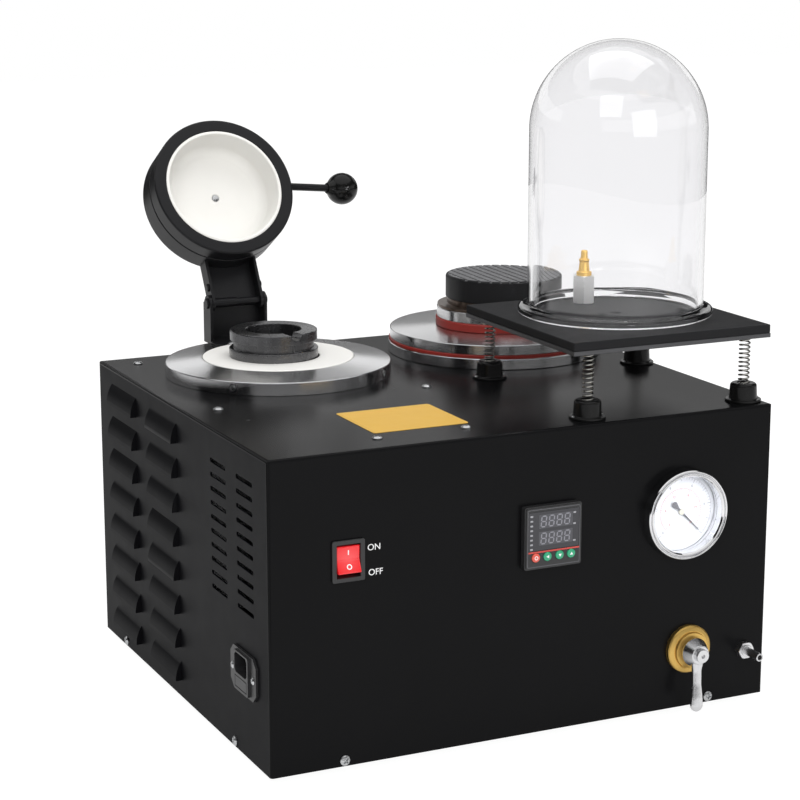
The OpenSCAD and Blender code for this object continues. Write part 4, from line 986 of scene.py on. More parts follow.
@dataclass
class Casing:
    """Folded sheet casing with its vented sides, screws, feet and plain label."""

    head_r: float = 3.9
    deck_screws: tuple[Point, ...] = ((-184, 163), (-184, -26), (-5, -21), (-113, -161), (-40, -159))
    low_z: float = 12.5
    front_xs: tuple[float, ...] = (-152, 159)
    side_ys: tuple[float, ...] = (-119, 133)
    inlet_half: float = 20.0
    inlet_head_r: float = 2.8
    pin_head_r: float = 1.4
    pin_x: float = 12.3
    flange_t: float = 2.0
    label_t: float = 0.3
    label_corner: float = 2.5
    label: tuple[float, float, float, float] = (-70, -112, 78, 70)
    foot_r: float = 14.0
    foot_inset: float = 34.0

    def build(self) -> None:
        """Builds the hood, sides, feet, screws and label."""
        refine("casing_hood", BLACK_COAT, sharp=25)
        for node in ("left_side_panel", "right_side_panel", "base_tray"):
            refine(node, SIDE_COAT, sharp=25)
        add_piece("rubber_feet_look", [(self.feet(), FEET_RUBBER)], "root", ("rubber_feet",))
        add_piece("casing_screws_look", [(self.screws(), ZINC)], "root", ("casing_screws",))
        x, y, w, h = self.label
        plate = prism(box_outline(w, h, self.label_corner), 0.0, self.label_t, 0.1).moved(at(x, y, DECK))
        add_piece("amber_label", [(plate, AMBER)], "root")

    def feet(self) -> Shell:
        """Four tapered rubber feet with a round lower edge and a hollow middle.

        Returns:
            The four feet.
        """
        foot = turned([(0.01, 4), (4.9, 4), (4.9, 0), (12.0, 0), (self.foot_r, 8), (0.01, 8)],
                      (0, 0.6, 0.6, 1.5, 0.3, 0), segments=64)
        return copies(foot, four_places((0, 0), (RIGHT - self.foot_inset, BACK - self.foot_inset), 0))

    def screws(self) -> Shell:
        """All the panel screws, each turned its own way.

        Returns:
            All the screws.
        """
        heads = [at(x, y, DECK, 20 + 37 * k) for k, (x, y) in enumerate(self.deck_screws)]
        heads += [on_front(x, self.low_z, 15 + x) for x in self.front_xs]
        heads += [on_back(x, self.low_z, x) for x in self.front_xs]
        heads += [at(0, 0, 0, y).then(on_side(side, y, self.low_z)) for side in (-1, 1) for y in self.side_ys]
        ears = [at(0, 0, self.flange_t, y).then(on_left(y, INLET[1]))
                for y in (INLET[0] - self.inlet_half, INLET[0] + self.inlet_half)]
        pins = [at(side * self.pin_x, 0, 0, 40 * side).then(foot)
                for foot in four_places(TABLE, SPRING_HALF, DECK + self.flange_t) for side in (-1, 1)]
        return joined([copies(pan_head(self.head_r), heads), copies(pan_head(self.inlet_head_r), ears),
                       copies(pan_head(self.pin_head_r), pins)])


@dataclass
class Furnace:
    """Deck ring, ceramic disc, crucible and what lies round the muffle."""

    ring_r: float = 92.6
    band_h: float = 10.5
    ring_h: float = 13.5
    seat_w: float = 52.6
    seat_h: float = 9.0
    disc_r: float = 62.0
    disc_bore: float = 34.0
    disc_low: float = 2.5
    disc_top: float = 14.0
    flange_r: float = 36.5
    rim_r: float = 35.8
    neck_r: float = 33.0
    body_r: float = 29.5
    bore_r: float = 22.6
    notch_turn: float = -80.0
    notch_r: float = 5.0
    rim_h: float = 22.2
    screw_r: float = 2.9
    screw_turns: tuple[float, ...] = (45, 135, 225, 315)
    seat_head_r: float = 3.2

    def build(self) -> None:
        """Builds the ring, disc, screws and crucible and dresses the inner pieces."""
        # The dark rings round the band's screws are painted shade for the bores' gaps.
        add_piece("deck_ring_look", [(self.ring(), RING_CHROME), (self.screw_gaps(), BLACK_SATIN)], "root",
                  ("deck_ring",))
        disc = turned([(self.disc_bore, self.disc_low), (self.disc_r, self.disc_low), (self.disc_r, self.disc_top),
                       (self.disc_bore, self.disc_top)], (0.3, 0.3, 0.8, 0.8), loop=True)
        add_piece("ceramic_disc_look", [(disc.moved(at(*FURNACE, DECK)), CERAMIC)], "root", ("ceramic_disc",))
        add_piece("ring_screws_look", [(self.screws(), ZINC)], "root", ("ring_screws",))
        add_piece("crucible_look", [(self.crucible(), GRAPHITE)], "crucible", ("crucible",), sharp=50)
        for node, finish in (("furnace_drum", RAW_STEEL), ("insulation", FIBRE), ("muffle", CERAMIC),
                             ("heating_coil", RESISTANCE), ("thermocouple", RAW_STEEL), ("heater_relay", RELAY)):
            dress(node, finish)

    def ring(self) -> Shell:
        """Deck ring: a turned profile whose points inside the bracket's seat sink to the seat's height.

        The profile's long slope is cut into short steps, and the columns meet the seat's corners, where
        cos a = half the seat's width over the ring's radius.

        Returns:
            The closed ring.
        """
        r, inner, low = self.ring_r, self.disc_r + 0.3, self.disc_r - 8
        corners = [(low, 0), (r, 0), (r, self.band_h), (inner, self.ring_h), (inner, self.disc_low),
                   (low, self.disc_low)]
        profile = soften(corners, (0.3, 0.3, 0.9, 0.5, 0.2, 0.3), 5, loop=True)
        slope = np.linspace(0, 1, 14)[1:-1, None]
        top = int(np.argmin(np.abs(profile[:, 0] - r + 1.0) + np.abs(profile[:, 1] - self.band_h)))
        profile = np.vstack([profile[:top + 1], profile[top] * (1 - slope) + profile[top + 1] * slope,
                             profile[top + 1:]])
        half = self.seat_w / 2
        edge = math.acos(half / r)
        back, front = np.linspace(edge, math.pi - edge, 60), np.linspace(math.pi - edge, FULL_TURN + edge, 260)
        a = np.concatenate([back, front[1:-1]])
        x, y = profile[:, :1] * np.cos(a), profile[:, :1] * np.sin(a)
        z = profile[:, 1:] * np.ones_like(a)
        sunk = (np.abs(x) <= half + 0.01) & (y > self.disc_r + 2.7)
        z = np.where(sunk, np.minimum(z, self.seat_h), z)
        return skin(np.stack([x, y, z], -1), Ends.LOOP).moved(at(*FURNACE, DECK))

    def screw_spots(self, reach: float) -> list[Place]:
        """Places at the band's socket screws, pointing outwards, at a distance from the furnace's middle."""
        out = Place(about((0, 1, 0), 90), np.array([reach, 0, 0]))
        return [out.then(at(*FURNACE, DECK + self.band_h / 2, turn)) for turn in self.screw_turns]

    def screw_gaps(self) -> Shell:
        """Thin dark rings of painted shade, standing in for the shadowed gap between each socket screw and its bore.

        Returns:
            All the rings.
        """
        inner, outer = self.screw_r - 0.05, self.screw_r + 0.45
        gap = revolve([(inner, -1.0), (outer, -1.0), (outer, 0.06), (inner, 0.06)], 40, loop=True)
        return copies(gap, self.screw_spots(self.ring_r))

    def screws(self) -> Shell:
        """Socket screws in the ring's band and two pan screws under the lid arm.

        Returns:
            All six screws.
        """
        screw = socket_screw(self.screw_r, 0.4, 6.9, 3.0, 2.4)
        heads = [at(FURNACE[0] + side * 13, FURNACE[1] + 73, DECK + 11.5, 30 * side) for side in (-1, 1)]
        return copies(screw, self.screw_spots(self.ring_r - 6.5)) + copies(pan_head(self.seat_head_r), heads)

    def crucible(self) -> Shell:
        """Two-flanged crucible: a revolved profile whose rim sinks to the notch's circle over a narrow arc.

        At a distance d from the notch's middle line the rim sinks by sqrt(R^2 - d^2), R being the notch's radius.

        Returns:
            The closed crucible.
        """
        rim = self.rim_h
        corners = [(0.0, -109), (26.5, -109), (self.body_r, -106), (self.body_r, 0), (self.flange_r, 0),
                   (self.flange_r, 7.4), (self.neck_r, 7.4), (self.neck_r, 13.8), (self.rim_r, 13.8),
                   (self.rim_r, rim), (29.2, rim), (self.bore_r, rim), (self.bore_r, -96), (15, -99), (0.0, -99)]
        profile = soften(corners, (0, 2, 2, 0.4, 0.7, 0.9, 0.5, 0.5, 0.7, 1.1, 0, 0.8, 3, 3, 0))
        middle = math.radians(self.notch_turn)
        near = middle + np.linspace(-0.26, 0.26, 41)
        a = np.concatenate([near, np.linspace(near[-1], near[0] + FULL_TURN, 110)[1:-1]])
        r, h = profile[:, :1], profile[:, 1:]
        side = r * np.sin(a - middle)
        ahead = np.cos(a - middle) > 0
        depth = np.sqrt(np.clip(self.notch_r ** 2 - side ** 2, 0, None)) * np.clip(1.4 - side ** 2 / 60, 0, 1)
        top = (h > 14.5) & (r > self.bore_r - 0.5) & ahead & (np.abs(side) < self.notch_r)
        z = np.where(top, np.minimum(h, rim - depth), h * np.ones_like(a))
        return skin(np.stack([r * np.cos(a), r * np.sin(a), z], -1)).moved(at(*CRUCIBLE, DECK + self.disc_top))


@dataclass
class Lid:
    """Hinged furnace lid, drawn thrown open with its arm and handle."""

    shell_r: float = 62.0
    depth: float = 38.5
    lining_r: float = 51.0
    bowl: float = 26.0
    rod_r: float = 3.2
    rod_l: float = 57.0
    tilt: float = 12.154
    root_h: float = 9.5
    knob_r: float = 14.0

    def build(self) -> None:
        """Builds the bracket, pin, arm, shell, lining, bolt and handle."""
        refine("hinge_bracket", BLACK_SATIN, 0.4)
        refine("lid_arm", BLACK_SATIN, 0.4)
        add_piece("hinge_pin_look", [(self.pin(), BLACK_SATIN)], "root", ("hinge_pin",))
        dress("hinge_sleeve", BLACK_SATIN)
        add_piece("arm_rivet_look", [(self.rivets(), BLACK_SATIN)], "lid", ("arm_rivet",))
        add_piece("lid_shell_look", [(self.shell().moved(LID), BLACK_SATIN)], "lid", ("lid_shell",))
        add_piece("lid_lining_look", [(self.lining().moved(LID), LINING)], "lid", ("lid_lining",))
        add_piece("lid_bolt_look", [(self.bolt().moved(LID), ZINC)], "lid", ("lid_bolt",))
        grip = Place(about((0, 1, 0), 90 - self.tilt), np.array([self.shell_r, 0, self.root_h])).then(LID)
        add_piece("handle_rod_look", [(self.rod().moved(grip), BLACK_SATIN)], "lid", ("handle_rod",))
        add_piece("ball_knob_look", [(self.knob().moved(grip), GLOSS_BLACK)], "lid", ("ball_knob",),
                  sharp=40)

    def pin(self) -> Shell:
        """Pin through both cheeks, with a domed head at each end: half its line, then the same mirrored.

        Returns:
            The pin on the hinge's axis.
        """
        end = 26.8
        half = soften([(0, end + 0.8), (4.6, end + 0.8), (4.6, end - 0.8), (3, end - 0.8)], (0, 1.2, 0.3, 0.2), 5)
        return revolve(np.vstack([half, (half * (1, -1))[::-1]]), 40).moved(across_hinge())

    def rivets(self) -> Shell:
        """A short rivet with a low domed head in each of the arm's cheeks.

        Returns:
            Both rivets.
        """
        rivet = turned([(0, 1.6), (3.4, 1.6), (3.4, 0), (2, 0), (2, -2.4), (0, -2.4)],
                       (0, 1.3, 0.2, 0.1, 0.3, 0), 5, 36)
        spots = [Place(about((1, 0, 0), 90 - 90 * side), np.array([-13.4, -2.0, side * 23.2])) for side in (-1, 1)]
        return copies(rivet, [spot.then(across_hinge()).then(THROWN) for spot in spots])

    def shell(self) -> Shell:
        """Round cover with a groove about its side, open in front for the lining.

        Returns:
            The closed cover.
        """
        r, d, bore, floor = self.shell_r, self.depth, self.lining_r + 0.65, self.bowl + 3.2
        corners = [(bore, 0), (r, 0), (r, 15), (r - 1.2, 15.6), (r - 1.2, 16.4), (r, 17), (r, d), (3.1, d),
                   (3.1, floor), (bore, floor)]
        return turned(corners, (0.4, 1.6, 0.4, 0.3, 0.3, 0.4, 2.5, 0.1, 0.1, 0.1), 5, loop=True)

    def lining(self) -> Shell:
        """White bowl with a soft lip and a wide corner at its floor.

        Returns:
            The closed bowl.
        """
        r, bowl = self.lining_r, self.bowl
        corners = [(r + 0.5, bowl + 3), (r + 0.5, 0.3), (r - 0.6, -0.02), (r - 2.2, 0.0), (r - 6.4, bowl),
                   (3.15, bowl), (3.15, bowl + 3)]
        return turned(corners, (0.2, 0.5, 0.4, 1.4, 9.0, 1.0, 0.1), 8, loop=True)

    def bolt(self) -> Shell:
        """Small bolt in the bowl's floor with its hexagon nut behind the lid.

        Returns:
            The bolt and its nut.
        """
        end = self.depth + 1.5
        stud = turned([(0, self.bowl - 0.3), (3, self.bowl + 0.2), (3, end), (0, end)], (0, 0.3, 0.3, 0), segments=32)
        nut = hexagon(9.5)
        rim = within(nut, 5.2)
        rows = [(nut * 0.3, 0.01), (nut, 0.01), (nut, 3.4), (rim, 4.0), (nut * 0.5, 4.0)]
        return stud + stack(rows).moved(at(0, 0, self.depth))

    def rod(self) -> Shell:
        """Straight round rod that starts inside the lid."""
        r, end = self.rod_r, self.rod_l - 6
        return turned([(0, -5.8), (r, -5.8), (r, 0.2), (r, end), (0, end)], (0, 0.3, 0, 0.3, 0), segments=40)

    def knob(self) -> Shell:
        """Ball with a short tapered neck: a circle's arc runs into the neck's line.

        Returns:
            The closed ball with its neck.
        """
        t = np.linspace(math.pi, math.radians(32), 40)[::-1]
        low = self.rod_l - self.knob_r - 2.5
        neck = soften([(self.rod_r + 0.05, low), (self.rod_r + 1.2, low), (self.rod_r + 3.0, low + 3.0)], (0, 0.4, 0))
        ball = np.stack([self.knob_r * np.sin(t), self.rod_l - self.knob_r * np.cos(t)], -1)
        ball = ball[ball[:, 1] > low + 3.2]
        ball[-1, 0] = 0.0
        return revolve(np.vstack([(0.0, low), neck, ball]), 72)


@dataclass
class Chamber:
    """Casting chamber's flange, gaskets, rings and ribbed cap."""

    base_r: float = 92.0
    cup_r: float = 55.0
    seal_r: float = 51.0
    throat: float = 42.0
    cap_x: float = 5.0
    cap_r: float = 47.0
    cap_h: float = 19.5
    cap_z: float = 289.0
    cap_edge: float = 2.0
    groove_slope: float = 0.25
    grooves: int = 12
    groove_w: float = 2.0
    groove_d: float = 1.2
    groove_turn: float = 87.0

    def build(self) -> None:
        """Builds the stack from the deck up."""
        base, cup, seal, throat = self.base_r, self.cup_r, self.seal_r, self.throat
        self.ring("base_flange", "root", "chrome", CHAMBER_CHROME, DECK,
                  [(cup, 0), (base, 0), (base, 9.2), (cup, 9.2)], (0.3, 0.6, 1.0, 0.4))
        self.ring("thin_gasket", "root", "red_rubber", RED_RUBBER, 252.2,
                  [(58, 0), (91.4, 0), (91.4, 2.6), (58, 2.6)], (0.2, 0.5, 0.5, 0.2))
        self.ring("adapter_plate", "adapter", "chrome", CHAMBER_CHROME, 254.8,
                  [(throat, 0), (90.5, 0), (90.5, 8.5), (seal, 10.5), (throat, 10.5)], (0.3, 0.6, 0.8, 0, 0.3))
        self.ring("thick_gasket", "adapter", "red_rubber", RED_RUBBER, 265.3,
                  [(throat, 0), (seal, 0), (seal, 7.3), (throat, 7.3)], (0.3, 1.2, 1.2, 0.3))
        self.ring("small_ring", "top_rings", "chrome", CHAMBER_CHROME, 272.6,
                  [(throat, 0), (50, 0), (50, 9), (throat, 9)], (0.3, 0.7, 0.7, 0.3))
        self.ring("stepped_ring", "top_rings", "dark_pad", BRONZE, 281.6,
                  [(36, 0), (49.5, 0), (49.5, 2.2), (41, 2.2), (41, 7.4), (36, 7.4)], (0.2, 0.3, 0.5, 0.4, 0.6, 0.4))
        add_piece("ribbed_cap_look", self.cap(), "cap", ("ribbed_cap",), sharp=40)
        dress("chamber_cup", RAW_STEEL)

    def ring(self, node: str, body: str, slot: str, finish: Finish, z: float, corners: list[Point],
             radii: Sequence[float]) -> None:
        """Adds one turned ring of the stack.

        Args:
            node: the node that it stands for.
            body: the body that it rides on.
            slot: the record's material slot, not used.
            finish: its finish.
            z: height of its lower face.
            corners: its section, radius and height.
            radii: rounding of each corner.
        """
        shell = turned(corners, radii, loop=True).moved(at(*CHAMBER, z))
        add_piece(node + "_look", [(shell, finish)], body, (node,))

    def cap(self) -> list[tuple[Shell, Finish]]:
        """Cap whose top is cut along chords: column s of the chord at y lies at x = s sqrt(R^2 - y^2).

        Returns:
            The parts of the cap, each with its finish.
        """
        rim, slope = self.cap_edge, self.groove_slope
        top_r, pitch = self.cap_r - rim, self.cap_r / 6.4
        middles = (np.arange(self.grooves) - (self.grooves - 1) / 2) * pitch
        half = self.groove_w / 2
        cuts = np.concatenate([middles - half, middles - half + slope, middles + half - slope, middles + half])
        y = np.unique(np.round(np.concatenate([cuts, np.linspace(-top_r, top_r, 60)]), 3))
        away = np.abs(y[:, None] - middles[None]).min(1)
        drop = np.clip((half - away) / slope, 0, 1) * self.groove_d
        s = np.linspace(-1, 1, 33)
        chord = np.sqrt(np.clip(top_r ** 2 - y ** 2, 0, None))
        wide = np.ones_like(s)
        top = np.stack([chord[:, None] * s, y[:, None] * wide, (self.cap_h - drop)[:, None] * wide], -1)
        face = skin(top, Ends.OPEN, wrap=False)
        ring = np.concatenate([top[:, -1], top[::-1, 0][1:-1]])
        rows = [np.column_stack([ring[:, :2] * (top_r + rim * math.sin(t)) / top_r,
                                 np.minimum(ring[:, 2], self.cap_h - rim + rim * math.cos(t))])
                for t in np.linspace(0, QUARTER_TURN, 6)]
        rows += [np.column_stack([ring[:, :2] * k / top_r, np.full(len(ring), h)])
                 for k, h in ((self.cap_r, 0.6), (self.cap_r - 0.2, 0.15), (self.cap_r - 0.7, 0.0))]
        side = skin(np.stack(rows), Ends.OPEN)
        base = Shell(rows[-1], [list(range(len(ring)))[::-1]])
        spot = at(CHAMBER[0] + self.cap_x, CHAMBER[1], self.cap_z, self.groove_turn)
        # The top face takes the lighter pad finish, which is painted sheen. The sides and base keep the dark pad.
        return [(face.moved(spot), PAD_TOP_PAINTED_SHEEN), (side.moved(spot), PAD), (base.moved(spot), PAD)]


@dataclass
class VacuumTable:
    """Sprung table with its feet, mat, release fitting and bell jar."""

    spring_r: float = 3.85
    wire_r: float = 0.7
    curls: int = 11
    curl_steps: int = 28
    spring_low: float = 254.5
    under_z: float = 293.0
    jar_r: float = 69.5
    flange_r: float = 77.0
    flange_h: float = 6.0
    wall: float = 4.0
    dome_z: float = 448.0
    fitting_y: float = -32.0
    fitting_h: float = 22.5

    def build(self) -> None:
        """Builds the feet, springs, plate, mat, jar and fitting."""
        add_piece("spring_feet_look", [(self.feet(), GLOSS_BLACK)], "root", ("spring_feet",))
        springs = add_piece("table_springs_look", [(self.springs(), SPRING_STEEL)], "", ("table_springs",),
                            sharp=80, level=False)
        low, high = ((TABLE[0] * METRE, TABLE[1] * METRE, z * METRE) for z in (self.spring_low, self.under_z))
        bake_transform(springs)
        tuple(low)
        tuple(high)
        refine("table_plate", TABLE_STEEL, 0.4)
        refine("table_mat", MAT_RUBBER, 0.7)
        jar = add_piece("bell_jar_look", [(self.jar(), JAR_GLASS)], "jar", ("bell_jar",), sharp=60)
        jar.visible_shadow = False
        add_piece("release_fitting_look", [(self.fitting(), HEX_STEEL)], "table", ("release_fitting",))
        add_piece("release_tip_look", [(self.tip(), BRASS)], "table", ("release_tip",))

    def feet(self) -> Shell:
        """Cup feet: a thin flange, a tapered body with a round shoulder and a seat for the spring.

        Returns:
            The four feet.
        """
        corners = [(0, 0), (14, 0), (14, 2), (10.9, 2), (10.2, 14.5), (4.85, 14.5), (4.85, 11.5), (0, 11.5)]
        foot = turned(corners, (0, 0.5, 0.7, 0.8, 2.6, 0.5, 0.3, 0), 6, 72)
        return copies(foot, four_places(TABLE, SPRING_HALF, DECK))

    def springs(self) -> Shell:
        """Coil springs: at angle a the wire's middle is (R cos a, R sin a, z0 + pitch a / 2 pi).

        Returns:
            The four springs.
        """
        pitch = (self.under_z - self.spring_low - 2 * self.wire_r) / self.curls
        a = np.linspace(0, FULL_TURN * self.curls, self.curls * self.curl_steps + 1)
        out = np.stack([np.cos(a), np.sin(a), np.zeros_like(a)], -1)
        path = out * self.spring_r + np.stack([0 * a, 0 * a, pitch * a / FULL_TURN + self.wire_r], -1)
        return copies(tube(path, out, self.wire_r), four_places(TABLE, SPRING_HALF, self.spring_low))

    def jar(self) -> Shell:
        """Bell jar: one closed profile, up the outer wall and dome, then down the inner ones.

        Returns:
            The closed wall of the jar.
        """
        r, wall, up = self.jar_r, self.wall, self.dome_z - TABLE_Z
        low = soften([(r - wall, 0), (self.flange_r, 0), (self.flange_r, self.flange_h), (r, self.flange_h), (r, 30)],
                     (1.0, 2.2, 2.2, 4.0, 0), 7)
        t = np.linspace(0, QUARTER_TURN, 49)
        outer = np.stack([r * np.cos(t), up + r * np.sin(t)], -1)
        inner = np.stack([(r - wall) * np.cos(t[::-1]), up + (r - wall) * np.sin(t[::-1])], -1)
        outer[-1, 0] = inner[0, 0] = 0.0
        return revolve(np.vstack([low[1:], outer, inner, low[:1]]), 160, loop=True).moved(at(*JAR, TABLE_Z))

    def fitting(self) -> Shell:
        """Hexagon with turned corners at both ends: each row is held within a circle that shrinks.

        Returns:
            The closed fitting.
        """
        line, h = hexagon(17, 10), self.fitting_h
        small, middle = within(line, 9.2), within(line, 9.6)
        rows = [(line * 0.3, 0.0), (small, 0.0), (middle, 0.25), (line, 0.8), (line, h - 0.9), (middle, h - 0.3),
                (small, h), (toward(line, 7.5), h), (line * 0.2, h)]
        stud = turned([(0, -10), (5, -10), (5, 0.5), (0, 0.5)], (0, 0.4, 0, 0), segments=40)
        return (stack(rows) + stud).moved(at(JAR[0], self.fitting_y, TABLE_Z))

    def tip(self) -> Shell:
        """Turned brass nipple with a collar and a pointed end.

        Returns:
            The closed nipple.
        """
        corners = [(0, 0), (6.2, 0), (6.2, 3), (4.6, 3), (3.8, 11), (4.3, 11.6), (4.3, 13), (3, 13.6), (2.6, 20),
                   (0, 20.6)]
        tip = turned(corners, (0, 0.3, 0.6, 0.4, 0.3, 0.3, 0.4, 0.4, 0.8, 0), segments=48)
        return tip.moved(at(JAR[0], self.fitting_y, TABLE_Z + self.fitting_h))


@dataclass
class PowerSwitch:
    """Red rocker switch with its frame and the printed words beside it."""

    x: float = -149.0
    z: float = 163.5
    throw: float = 20.0
    rocker_w: float = 17.9
    rocker_r: float = 12.0
    mark_y: float = 5.2
    mark_z: float = 6.12
    mark_t: float = 0.12
    words: tuple[tuple[str, float, float], ...] = (("ON", -128.4, 170.8), ("OFF", -127.2, 152.1))
    word_h: float = 6.6

    def build(self) -> None:
        """Builds the frame, rocker and words."""
        refine("switch_frame", BLACK_PLASTIC, 0.35)
        add_piece("rocker_look", self.rocker(), "rocker", ("rocker",))
        words = joined(lettering(word, self.word_h).moved(on_front(x, z)) for word, x, z in self.words)
        add_piece("switch_words", [(words, WHITE_INK)], "root")

    def rocker(self) -> list[tuple[Shell, Finish]]:
        """Rocker: its bent face is carried across its width, the ends drawn in by a small radius.

        Returns:
            The rocker and its two signs, each with its finish.
        """
        r, half = self.rocker_r, self.rocker_w / 2
        t = np.radians(np.linspace(-38, -142, 19))
        belly = np.stack([r * np.cos(t), r * np.sin(t)], -1)
        face = soften([(-11.0, -4.9), (-9.9, 7.2), (0, 4.9), (9.9, 7.2), (11.0, -4.9)], (0, 0.9, 6, 0.9, 0), 6)
        outline = np.vstack([face[1:-1], belly[1:-1]])[::-1]
        shell = prism(outline, -half, half, 0.7, 4)
        tilt = Place(about((1, 0, 0), -self.throw / 2), np.array([0, 0, -4.0])).then(on_front(self.x, self.z))
        turn = about((0, 0, 1), 90) @ about((1, 0, 0), 90)
        body = shell.moved(Place(turn).then(tilt))
        slope, thick = math.degrees(math.atan2(2.3, 9.9)), self.mark_t
        stroke = bars(3.6, 0.8, thick, [Place(about((0, 0, 1), 90), np.array([0, -1.8, 0]))])
        ring = revolve([(1.25, 0), (2.0, 0), (2.0, thick), (1.25, thick)], 40, loop=True)
        upper, lower = (Place(about((1, 0, 0), side * slope), np.array([0, side * self.mark_y, self.mark_z])).then(tilt)
                        for side in (1, -1))
        # The rocker's body carries the painted glow of its finish.
        return [(body, RED_PLASTIC_PAINTED_GLOW), (stroke.moved(upper), WHITE_INK), (ring.moved(lower), WHITE_INK)]


@dataclass
class Controller:
    """Temperature controller with its window, digits and four buttons."""

    x: float = 15.0
    z: float = 162.5
    out: float = 6.5
    window: tuple[float, float] = (0.3, 5.2)
    button_xs: tuple[float, ...] = (-15.0, -5.25, 5.0, 14.75)
    button_y: float = -14.7
    button_r: float = 3.4
    button_turns: tuple[float, ...] = (0, 90, 180, 0)
    rows: tuple[float, float] = (12.4, -0.6)
    face_side: float = 44.2
    face_line: float = 0.45
    digit_pitch: float = 6.6
    digit_lean: float = 0.1
    lamp_pitch: float = 3.6

    def build(self) -> None:
        """Builds the case, window, marks and buttons."""
        refine("controller_case", BLACK_PLASTIC, 0.5)
        spot = on_front(self.x, self.z)
        glass = prism(box_outline(42.7, 29.7, 0.9), self.out - 1.2, self.out - 0.3, 0.15)
        glass = glass.moved(at(*self.window, 0).then(spot))
        pane = prism(box_outline(28.5, 10.6, 0.5), self.out - 0.36, self.out - 0.27, 0.02)
        panes = copies(pane, [at(1.8, y, 0) for y in self.rows])
        rim, line_w = box_outline(self.face_side, self.face_side, 1.2), self.face_line
        low, high = self.out - 0.1, self.out + 0.05
        frame_line = stack([(rim, low), (rim, high), (inset(rim, line_w), high), (inset(rim, line_w), low)], Ends.LOOP)
        add_piece("display_window_look", [(glass, WINDOW), (panes.moved(spot), PANE),
                                          (self.digits().moved(spot), SEGMENT), (self.lamps().moved(spot), MARK)],
                  "root", ("display_window",))
        add_piece("controller_rim", [(frame_line.moved(spot), EDGE_GREY)], "root")
        line = prism(box_outline(43, 1.2, 0.3), self.out - 0.05, self.out + 0.1, 0.03).moved(at(0.3, -10.6, 0))
        add_piece("controller_line", [(line.moved(spot), RED_LINE)], "root")
        kinds = (("button_set", RED_BUTTON), ("button_left", GREEN_PLASTIC), ("button_down", GREEN_PLASTIC),
                 ("button_up", GREEN_PLASTIC))
        for k, (name, finish) in enumerate(kinds):
            add_piece(name + "_look", self.button(k, finish), name, (name,))

    def digits(self) -> Shell:
        """Two rows of four unlit seven-bar digits, each slanted a little.

        Returns:
            All the bars of the digits.
        """
        level = self.out - 0.28
        segment = np.array([(-1.7, 0), (-1.2, -0.45), (1.2, -0.45), (1.7, 0), (1.2, 0.45), (-1.2, 0.45)])
        bar = stack([(segment, 0.0), (segment, 0.08)])
        spots = [(0, 4, 0), (0, 0, 0), (0, -4, 0), (-2, 2, 90), (2, 2, 90), (-2, -2, 90), (2, -2, 90)]
        lean = Place(np.array([[1, self.digit_lean, 0], [0, 1, 0], [0, 0, 1.0]]), np.zeros(3))
        digit = copies(bar, [at(x, y, 0, a) for x, y, a in spots]).moved(lean)
        places = [at(-8.4 + self.digit_pitch * k, y, level) for k in range(4) for y in self.rows]
        return copies(digit, places)

    def lamps(self) -> Shell:
        """Small indicator marks beside the digits, left and right.

        Returns:
            All the marks.
        """
        level = self.out - 0.32
        places = [at(-18.6, 17.0 - self.lamp_pitch * k, level) for k in range(8)]
        places += [at(17.6, y, level) for y in (16.5, 8.0, -5.0)]
        lamp = box_outline(2.2, 1.3, 0.3, 2)
        return copies(stack([(lamp, 0.0), (lamp, 0.08)]), places)

    def button(self, k: int, finish: Finish) -> list[tuple[Shell, Finish]]:
        """Round domed button with its printed sign.

        Args:
            k: which button, from the left.
            finish: its plastic.

        Returns:
            The button's shell and its sign's.
        """
        r, low = self.button_r, self.out - 3.6
        dome = turned([(0, low), (r, low), (r, self.out + 0.7), (r * 0.6, self.out + 1.05), (0, self.out + 1.1)],
                      (0, 0.2, 0.5, 1.2, 0), 5, 48)
        spot = at(self.button_xs[k], self.button_y, 0).then(on_front(self.x, self.z))
        level = self.out + 1.02
        if k == 0:
            sign = revolve([(1.0, level), (1.5, level), (1.5, level + 0.1), (1.0, level + 0.1)], 24, loop=True)
        else:
            arrow = np.array([(-1.3, -0.9), (1.3, -0.9), (0, 1.3)])
            sign = stack([(arrow, level), (arrow, level + 0.1)]).moved(at(0, 0, 0, self.button_turns[k]))
        return [(dome.moved(spot), finish), (sign.moved(spot), WHITE_INK)]


